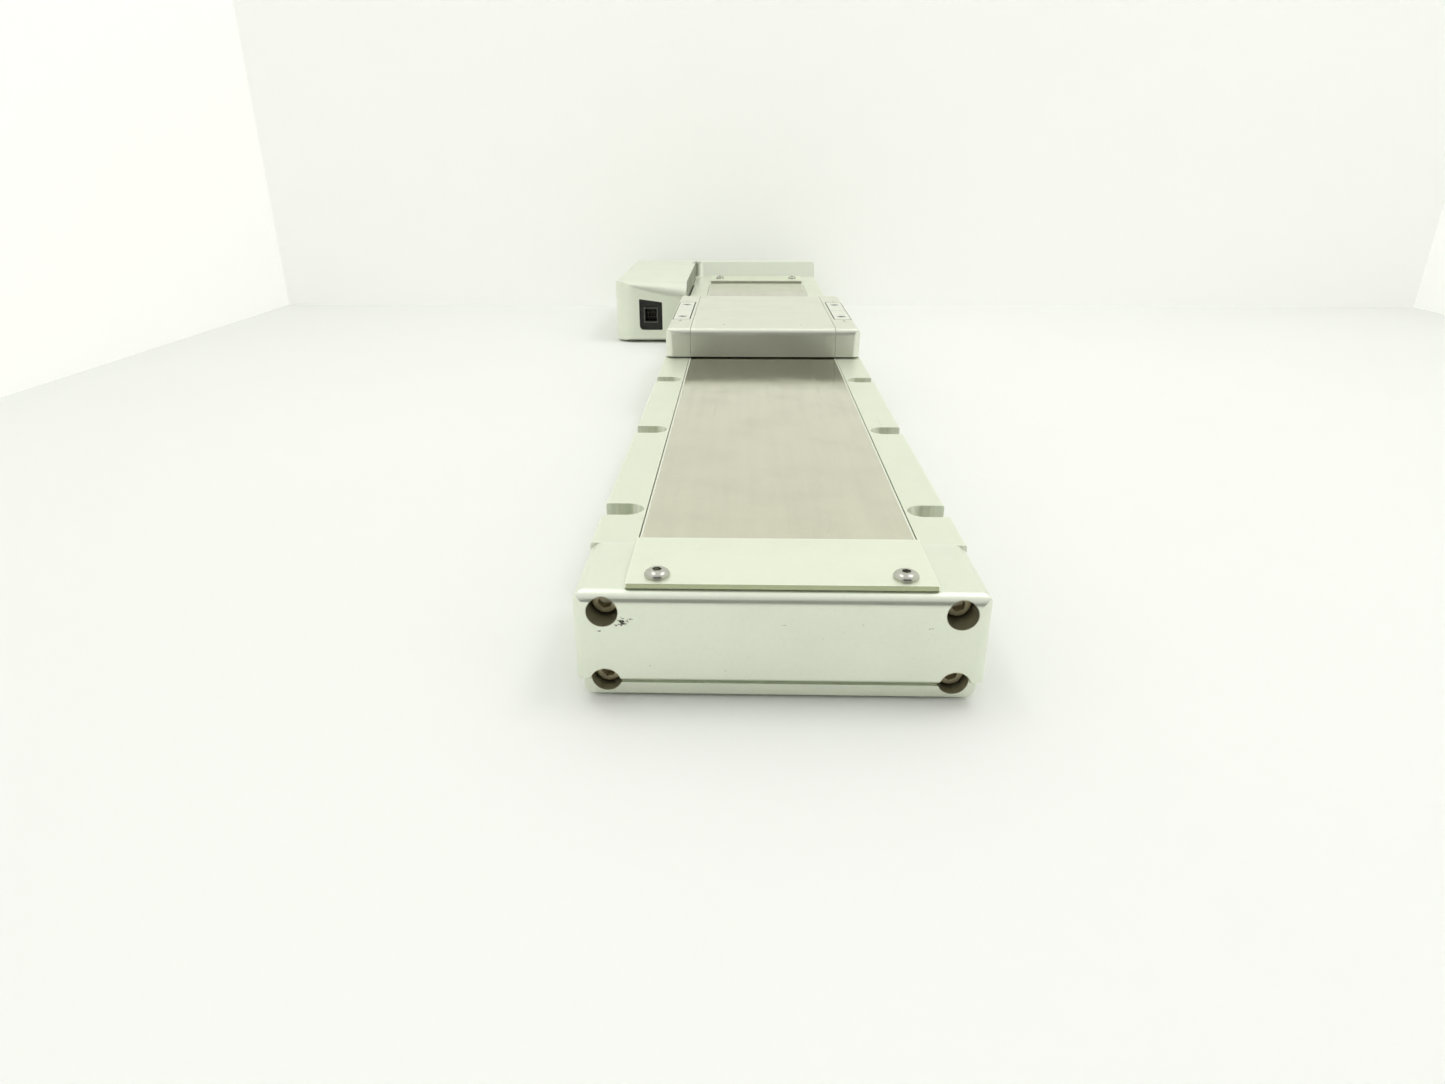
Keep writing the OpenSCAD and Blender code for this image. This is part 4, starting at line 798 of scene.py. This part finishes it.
# ------------------------------------------------------------------ eased pieces
EASED = {
    name: eased_copy(name, edge)
    for name, edge in {
        "base_rail": 0.25,
        "front_end_cap": 0.35,
        "strip_clamp_front": 0.12,
        "strip_clamp_rear": 0.12,
        "strip_guide_left": 0.15,
        "strip_guide_right": 0.15,
        "slider_cover": 0.2,
        "slider_side_cover_left": 0.1,
        "slider_side_cover_right": 0.1,
        "mounting_pad_left": 0.1,
        "mounting_pad_right": 0.1,
        "drive_cover": 0.3,
        "connector_inlet": 0.25,
    }.items()
}


# -------------------------------------------------------------------- dust strip
STRIP_STEPS = 90


def strip_length(node):
    """A free length of the dust strip, built in many steps along its length."""
    low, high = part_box(node)
    work = bmesh.new()
    rows = []
    for i in range(STRIP_STEPS + 1):
        y = low.y + (high.y - low.y) * i / STRIP_STEPS
        rows.append([work.verts.new((x, y, z)) for x, z in (
            (low.x, low.z), (high.x, low.z), (high.x, high.z), (low.x, high.z),
        )])
    join_rings(work, rows)
    work.faces.new(reversed(rows[0]))
    work.faces.new(rows[-1])
    bmesh.ops.recalc_face_normals(work, faces=work.faces)
    mesh = mesh_of(node + "_free", work)
    piece = add_piece(node + "_free", mesh, "strip_steel", None, [node])
    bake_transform(piece)
    return piece


def add_strips():
    strip_length("dust_strip_front")
    strip_length("dust_strip_rear")


add_strips()


# ------------------------------------------------------------------------ screws
def turned(name, profile, steps, key, deep, knurl=0.0):
    """A screw turned round Z, head up, with a hexagon socket; profile runs from the shank's foot
    up to the flat round the socket, as radius and height."""
    work = bmesh.new()

    def ring(radius_at, z):
        return [
            work.verts.new((radius_at(a) * math.cos(a), radius_at(a) * math.sin(a), z))
            for a in (2 * math.pi * i / steps for i in range(steps))
        ]

    def hexagon(a):
        return key / 2 / math.cos((a % (math.pi / 3)) - math.pi / 6)

    widest = max(radius for radius, _ in profile)
    rings = []
    for radius, z in profile:
        cut = knurl if radius == widest else 0.0
        rings.append(ring(
            lambda a, r=radius, c=cut: r - c * (0.5 + 0.5 * math.cos(steps / 4 * a)), z,
        ))
    top = profile[-1][1]
    rings.append(ring(hexagon, top))
    rings.append(ring(hexagon, top - deep))
    join_rings(work, rings)
    work.faces.new(reversed(rings[0]))
    tip = work.verts.new((0, 0, top - deep * 1.25))
    for i in range(steps):
        work.faces.new((rings[-1][i], rings[-1][(i + 1) % steps], tip))
    bmesh.ops.recalc_face_normals(work, faces=work.faces)
    mesh = mesh_of(name, work)
    mesh.shade_smooth()
    mesh.set_sharp_from_angle(angle=math.radians(35))
    return mesh


def fastener_tree():
    """Sets one turned screw on every point, each spun by its own amount about its axis."""
    tree = bpy.data.node_groups.new("set_fasteners", "GeometryNodeTree")
    for label, kind in (
        ("Places", "NodeSocketGeometry"), ("Screw", "NodeSocketObject"),
        ("Tilt", "NodeSocketFloat"), ("Seed", "NodeSocketInt"), ("Finish", "NodeSocketMaterial"),
    ):
        tree.interface.new_socket(label, in_out="INPUT", socket_type=kind)
    tree.interface.new_socket("Geometry", in_out="OUTPUT", socket_type="NodeSocketGeometry")
    g = Shader(tree)
    given = g.add("NodeGroupInput").outputs
    screw = g.add("GeometryNodeObjectInfo", {"Object": given["Screw"]})
    tilt = g.add("ShaderNodeCombineXYZ", {"X": given["Tilt"]})
    placed = g.add("GeometryNodeInstanceOnPoints", {
        "Points": given["Places"], "Instance": screw.outputs["Geometry"],
        "Rotation": tilt.outputs[0],
    })
    spin = g.add("FunctionNodeRandomValue", {"Seed": given["Seed"]})
    angle = g.math("MULTIPLY", spin.outputs[1], math.pi)
    turn = g.add("ShaderNodeCombineXYZ", {"Z": angle})
    spun = g.add("GeometryNodeRotateInstances", {
        "Instances": placed.outputs[0], "Rotation": turn.outputs[0], "Local Space": True,
    })
    solid = g.add("GeometryNodeRealizeInstances", {"Geometry": spun.outputs[0]})
    painted = g.add("GeometryNodeSetMaterial", {
        "Geometry": solid.outputs[0], "Material": given["Finish"],
    })
    g.feed(g.add("NodeGroupOutput").inputs["Geometry"], painted.outputs[0])
    return tree


def grown(name, mesh, tree, inputs, body, replaces=()):
    """A piece grown by a geometry tree on a mesh, left as a plain mesh."""
    piece = new_object(name, mesh)
    modifier = piece.modifiers.new("grow", "NODES")
    modifier.node_group = tree
    for item in tree.interface.items_tree:
        if item.in_out == "INPUT" and item.name in inputs:
            modifier[item.identifier] = inputs[item.name]
    plain_mesh(piece)
    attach(piece, body)
    if replaces:
        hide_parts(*replaces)
    return piece


def add_screws(node, shape, tilt, seed, foot):
    """A CAD node's screws again, as turned screws at the same places."""
    boxes = islands(node)
    heads = bpy.data.objects.new(node + "_pattern", shape)
    places = bpy.data.meshes.new(node + "_places")
    places.from_pydata([foot(low, high) for low, high in boxes], [], [])
    piece = grown(node + "_turned", places, FASTENERS, {
        "Screw": heads, "Tilt": tilt, "Seed": seed, "Finish": FINISH[SLOT_OF[node]],
    }, nodes[node]["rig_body"], [node])
    bpy.data.objects.remove(heads)
    return piece


def button_head(box):
    """Profile of a button-head screw that fills the box, upright."""
    low, high = box
    radius = (high.x - low.x) / 2
    shank, rise = radius * 0.52, radius * 0.56
    neck = high.z - low.z - rise
    dome = [
        (radius * math.cos(a), neck + rise * (0.12 + 0.88 * math.sin(a)))
        for a in (math.radians(58) * i / 7 for i in range(8))
    ]
    flat = dome[-1]
    lift = (high.z - low.z) / flat[1]
    return [(shank, 0), (shank, neck), (radius * 0.97, neck)] + [(r, z * lift) for r, z in dome]


def cap_head(box):
    """Profile of a socket-head cap screw along Y that fills the box, head up."""
    low, high = box
    radius = (high.x - low.x) / 2
    length = high.y - low.y
    head = radius * 1.18
    shank, ease = radius * 0.59, radius * 0.12
    return [
        (shank, 0), (shank, length - head), (radius - ease, length - head),
        (radius, length - head + ease), (radius, length - 2 * ease),
        (radius - ease, length - ease / 2), (radius - 2 * ease, length),
    ]


FASTENERS = fastener_tree()
CLAMP_SCREWS = islands("clamp_screws")
CAP_SCREWS = islands("front_cap_screws")
clamp_screws = add_screws(
    "clamp_screws",
    turned("button_screw", button_head(CLAMP_SCREWS[0]), 48, key=2.5 * MM, deep=1.3 * MM),
    0.0, 4, lambda low, high: ((low.x + high.x) / 2, (low.y + high.y) / 2, low.z),
)
cap_screws = add_screws(
    "front_cap_screws",
    turned("cap_screw", cap_head(CAP_SCREWS[0]), 144, key=4 * MM, deep=2.6 * MM, knurl=0.18 * MM),
    math.pi / 2, 7, lambda low, high: ((low.x + high.x) / 2, high.y, (low.z + high.z) / 2),
)
paint(cap_screws, metal("cap_screw_steel", srgb(196, 188, 162), 0.35, metallic=0.7, smudges=0.6))


# --------------------------------------------------- finishes that need the pieces
def grow(box, reach):
    """A box made larger to both sides in x, y and z, in millimetres."""
    reach = Vector(reach) * MM
    return box[0] - reach, box[1] + reach


def opening_box(name):
    """The box of one of the record's openings."""
    for opening in record["physics"]["openings"]:
        if opening["name"] == name:
            return [Vector(corner) for corner in opening["box_m"]]


def hood_shades():
    """The boxes of painted shade on the drive cover, and how softly each ends."""
    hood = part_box("drive_cover")[0]
    return [
        (Vector((HOOD_INNER_X - left, hood.y / MM + start, low)) * MM,
         Vector((HOOD_INNER_X + right, hood.y / MM + end, HOOD_SHADE_TOP)) * MM, soft * MM)
        for left, right, start, end, low, soft in HOOD_SHADES
    ]


def own_finishes():
    """The finishes of single pieces: a darker tone in the end cap's bores, for bare metal and
    partly painted shade, and rub marks on its face; painted shade on the drive cover, on the clamp
    sheet's front edge, on the pads' sides and round the pads; a painted highlight on the
    connector's rim;
    worn edges. Returns the first rub mark's place."""
    place, _ = on_surface("rub_mark", EASED["front_end_cap"])
    # The box round the connector's socket, whose edges get a painted highlight
    socket = grow(opening_box("motor_socket"), SOCKET_RIM)
    socket[0].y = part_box("connector_inlet")[0].y
    socket[1].y = socket[0].y + SOCKET_DEPTH
    own = {
        "front_end_cap": dict(
            bores=[axis_of(box) for box in CAP_SCREWS],
            marks=[
                {"X": place.x + across * MM, "Y": place.y, "Z": place.z + up * MM,
                 "Length": length * MM, "Height": height * MM, "Density": density}
                for across, up, length, height, density in RUB_MARKS
            ],
        ),
        # Painted shade on the hood's wall beside the rail and in the corner behind it
        "drive_cover": dict(metallic=0.45, shaded=hood_shades()),
        # Painted shade on the clamp sheet's front edge
        "strip_clamp_front": dict(cut=srgb(182, 188, 154)),
        "base_rail": dict(milled=True),
        "connector_inlet": dict(rim=socket),
    }
    for side in ("left", "right"):
        # Painted shade on the pads' sides and on the side covers round them
        own["mounting_pad_" + side] = dict(cut=GAP_SHADE)
        gap = grow(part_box("mounting_pad_" + side), PAD_GAP)
        own["slider_side_cover_" + side] = dict(gap=gap)
    for name, piece in EASED.items():
        paint(piece, finish(SLOT_OF[name], "_" + name, box=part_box(name), **own.get(name, {})))
    return place


RUB_PLACE = own_finishes()


# -------------------------------------------------------- small things on the slider
DOT_R = 0.55 * MM
DOT_H = 0.06 * MM
DIMPLE_R = 0.9 * MM
DIMPLE_H = 0.05 * MM
DIMPLE_AHEAD = 4.0 * MM
SUNK = 0.02 * MM
PAD_HOLE_IN = 11.0 * MM
INSERT_STEPS = 40
# A pad hole's insert, radius and height in millimetres: threads, then the lip, then its underside
INSERT_PROFILE = (
    (2.12, -1.4), (2.0, -1.2), (2.12, -1.0), (2.0, -0.8), (2.12, -0.6), (2.0, -0.4), (2.16, -0.1),
    (2.3, 0.1), (2.6, 0.16), (2.9, 0.1), (3.0, -0.04), (2.4, -0.3),
)


def small_dot(name, place, radius, height, slot):
    """A round mark, a little proud of the surface that it is on."""
    work = bmesh.new()
    bmesh.ops.create_cone(
        work, cap_ends=True, segments=24, radius1=radius, radius2=radius * 0.7, depth=height,
        matrix=Matrix.Translation(place + Vector((0, 0, height / 2 - SUNK))),
    )
    return smooth(add_piece(name, mesh_of(name, work), slot, "carriage"), 50)


def add_dots():
    """The two dark dots in the middle cover, at their image points."""
    dots = []
    for side in ("left", "right"):
        name = "moulding_dot_" + side
        place, _ = on_surface(name, EASED["slider_cover"])
        dots.append(small_dot(name, place, DOT_R, DOT_H, "black_plastic"))
    return dots


def add_dimples():
    """Two dark discs in the side covers, ahead of the pads: painted shade where two small holes
    are.
    """
    for side in ("left", "right"):
        low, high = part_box("mounting_pad_" + side)
        place = Vector(((low.x + high.x) / 2, low.y - DIMPLE_AHEAD, high.z))
        small_dot("moulding_dimple_" + side, place, DIMPLE_R, DIMPLE_H, "dark_steel")


DOTS = add_dots()
add_dimples()


def thread_insert():
    """A shiny insert with its lip, turned round Z; the pad's top is z = 0."""
    work = bmesh.new()
    rings = [
        [work.verts.new((r * MM * math.cos(a), r * MM * math.sin(a), z * MM))
         for a in (2 * math.pi * i / INSERT_STEPS for i in range(INSERT_STEPS))]
        for r, z in INSERT_PROFILE
    ]
    join_rings(work, rings + rings[:1])
    bmesh.ops.recalc_face_normals(work, faces=work.faces)
    mesh = mesh_of("thread_insert", work)
    mesh.shade_smooth()
    return mesh


def add_inserts():
    places = []
    for side in ("left", "right"):
        low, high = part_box("mounting_pad_" + side)
        for y in (low.y + PAD_HOLE_IN, high.y - PAD_HOLE_IN):
            places.append(((low.x + high.x) / 2, y, high.z))
    mesh = bpy.data.meshes.new("insert_places")
    mesh.from_pydata(places, [], [])
    pattern = bpy.data.objects.new("insert_pattern", thread_insert())
    grown("pad_thread_inserts", mesh, FASTENERS, {
        "Screw": pattern, "Tilt": 0.0, "Seed": 3, "Finish": FINISH["bright_steel"],
    }, "carriage")
    bpy.data.objects.remove(pattern)


add_inserts()


# ------------------------------------------------------------ floor and lights
BACK_WALL_Y = 0.428
LEFT_WALL_X = -0.516
RIGHT_WALL_X = 0.71
WALL_H = 1.2
OPEN_FRONT_Y = -1.1
FLOOR_Z = -1.2 * MM
WALL_GLOW = 0.14
SKY_LIGHT = 1.0
ROOM_LIGHT = 0.2
ROOM_SHINE = 0.05
SEEN_WHITE = 0.93
LAMPS = {"lamp_left": (-1.0, 0.0, 1.5), "lamp_right": (1.1, 0.0, 1.5)}
LAMP_SIZE = (0.7, 1.2)
LAMP_POWER = 12.0


def stage_sheet(name, corners, colour, one_sided):
    mesh = bpy.data.meshes.new(name)
    mesh.from_pydata(corners, [], [(0, 1, 2, 3)])
    sheet = new_object(name, mesh)
    material, s, inputs = new_material(name + "_white", 0.0, Specular_IOR_Level=0.1, Roughness=0.8)
    faint = s.span(s.noise(s.place(), 3.0, 4.0), 0.3, 0.7, 0.0, 0.4)
    s.feed(inputs["Base Color"], s.mix(faint, colour, scaled(colour, 0.97)))
    if one_sided:
        inputs["Emission Color"].default_value = (1.0, 1.0, 0.98, 1)
        inputs["Emission Strength"].default_value = WALL_GLOW
        nodes_of = material.node_tree.nodes
        away = s.add("ShaderNodeNewGeometry").outputs["Backfacing"]
        clear = s.add("ShaderNodeBsdfTransparent")
        both = s.add("ShaderNodeMixShader", {
            0: away, 1: nodes_of["Principled BSDF"].outputs[0], 2: clear.outputs[0],
        })
        s.feed(nodes_of["Material Output"].inputs["Surface"], both.outputs[0])
    mesh.materials.append(material)
    sheet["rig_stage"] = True


def add_stage():
    """The floor, and three walls that glow and are seen from inside only."""
    white = (0.9, 0.91, 0.885)
    wall = (0.95, 0.955, 0.925)
    far, low, top = 14.0, FLOOR_Z, WALL_H
    left, right, back, front = LEFT_WALL_X, RIGHT_WALL_X, BACK_WALL_Y, OPEN_FRONT_Y
    floor = [(-far, front, low), (far, front, low), (far, far, low), (-far, far, low)]
    stage_sheet("floor", floor, white, False)
    for name, start, end in (
        ("back_wall", (left, back), (right, back)),
        ("left_wall", (left, front), (left, back)),
        ("right_wall", (right, back), (right, front)),
    ):
        corners = [(*start, low), (*end, low), (*end, top), (*start, top)]
        stage_sheet(name, corners, wall, True)


def add_lights():
    """A lamp on each side, turned to the slide's middle."""
    for name, place in LAMPS.items():
        data = bpy.data.lights.new(name, "AREA")
        data.shape = "RECTANGLE"
        data.size, data.size_y = LAMP_SIZE
        data.energy = LAMP_POWER
        lamp = new_object(name, data)
        lamp.location = place
        lamp.rotation_mode = "QUATERNION"
        lamp.rotation_quaternion = (-Vector(place)).to_track_quat("-Z", "Y")


def add_sky():
    """White to the camera; to the object, a soft sky with the dark room in front of the booth,
    which shows more in what shines than in what is matt."""
    world = bpy.data.worlds.new("booth")
    bpy.context.scene.world = world
    world.use_nodes = True
    s = Shader(world.node_tree)
    back = world.node_tree.nodes["Background"]
    path = s.add("ShaderNodeLightPath").outputs
    around = s.add("ShaderNodeTexCoord").outputs["Generated"]
    toward = s.axes(around)
    in_front = s.span(toward["Y"], -0.1, -0.6)
    low_down = s.span(toward["Z"], 0.92, 0.42)
    dark = s.math("MULTIPLY", in_front, low_down)
    less = s.math("MULTIPLY", path["Is Glossy Ray"], ROOM_LIGHT - ROOM_SHINE)
    light = s.span(dark, 0.0, 1.0, SKY_LIGHT, s.math("SUBTRACT", ROOM_LIGHT, less))
    seen = s.math("MULTIPLY", path["Is Camera Ray"], SEEN_WHITE)
    unseen = s.math("MULTIPLY", s.math("SUBTRACT", 1.0, path["Is Camera Ray"]), light)
    back.inputs["Color"].default_value = (1.0, 1.0, 0.985, 1)
    s.feed(back.inputs["Strength"], s.math("ADD", seen, unseen))


add_stage()
add_sky()
add_lights()

bpy.context.scene.view_settings.view_transform = "Standard"


# ------------------------------------------------------------------- where it shows
def shown_pieces():
    return [
        piece for piece in bpy.context.scene.objects
        if piece.type == "MESH" and not piece.hide_render and not piece.get("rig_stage")
    ]


def whole_tree():
    corners, faces = [], []
    for piece in shown_pieces():
        first = len(corners)
        corners.extend(vertex.co.copy() for vertex in piece.data.vertices)
        piece.data.calc_loop_triangles()
        triangles = piece.data.loop_triangles
        faces.extend([first + i for i in triangle.vertices] for triangle in triangles)
    return BVHTree.FromPolygons(corners, faces)


def write_points():
    """Where each thing shows in the image, in x and y."""
    tree = whole_tree()
    eye = camera.matrix_world.translation

    def visible(place):
        to_eye = eye - place
        start = place + to_eye.normalized() * 0.2 * MM
        return tree.ray_cast(start, to_eye.normalized(), to_eye.length)[0] is None

    every = [(pixel_of(v.co), v.co) for piece in shown_pieces() for v in piece.data.vertices]

    def edge(axis, sign):
        for seen, place in sorted(every, key=lambda pair: sign * pair[0][axis]):
            if visible(place):
                return seen[axis]

    def spots(piece, near, keep):
        return [pixel_of(v.co) for v in piece.data.vertices if keep(v.co - near) and visible(v.co)]

    def middle(found):
        across, down = zip(*found)
        return (min(across) + max(across)) / 2, (min(down) + max(down)) / 2

    shows = {
        "left_edge": (edge(0, 1), None),
        "right_edge": (edge(0, -1), None),
        "top_edge": (None, edge(1, 1)),
        "bottom_edge": (None, edge(1, -1)),
    }
    for side, box in zip(("left", "right"), CLAMP_SCREWS):
        centre = (box[0] + box[1]) / 2
        shows["clamp_screw_" + side] = middle(spots(
            clamp_screws, centre, lambda d: d.xy.length < 5 * MM,
        ))
    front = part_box("front_end_cap")[0].y
    for name, box in zip(("lower_left", "lower_right", "upper_left", "upper_right"), CAP_SCREWS):
        centre = (box[0] + box[1]) / 2
        centre.y = front
        shows["counterbore_" + name] = middle(spots(
            EASED["front_end_cap"], centre, lambda d: d.xz.length < 4.9 * MM and d.y < 4 * MM,
        ))
    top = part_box("base_rail")[1].z
    for number in ("1", "2"):
        for side in ("left", "right"):
            low, high = opening_box(f"bolt_pocket_{side}_{number}")
            centre = (low + high) / 2
            centre.z = top
            shows[f"pocket_{number}_{side}"] = middle(spots(
                EASED["base_rail"], centre,
                lambda d: abs(d.x) < 8 * MM and abs(d.y) < 7 * MM and abs(d.z) < MM,
            ))
    for side, pick in (("left", min), ("right", max)):
        low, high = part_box("slider_side_cover_" + side)
        corner = Vector((low.x if side == "left" else high.x, low.y, low.z))
        found = spots(EASED["slider_side_cover_" + side], corner, lambda d: d.length < 9 * MM)
        shows["slider_foot_" + side] = (pick(x for x, _ in found), max(y for _, y in found))
    for side, dot in zip(("left", "right"), DOTS):
        shows["moulding_dot_" + side] = middle([pixel_of(v.co) for v in dot.data.vertices])
    low, high = opening_box("motor_socket")
    shows["socket"] = middle(spots(
        EASED["connector_inlet"], (low + high) / 2,
        lambda d: abs(d.x) < 6.5 * MM and abs(d.z) < 7 * MM,
    ))
    shows["rub_mark"] = pixel_of(RUB_PLACE)


write_points()
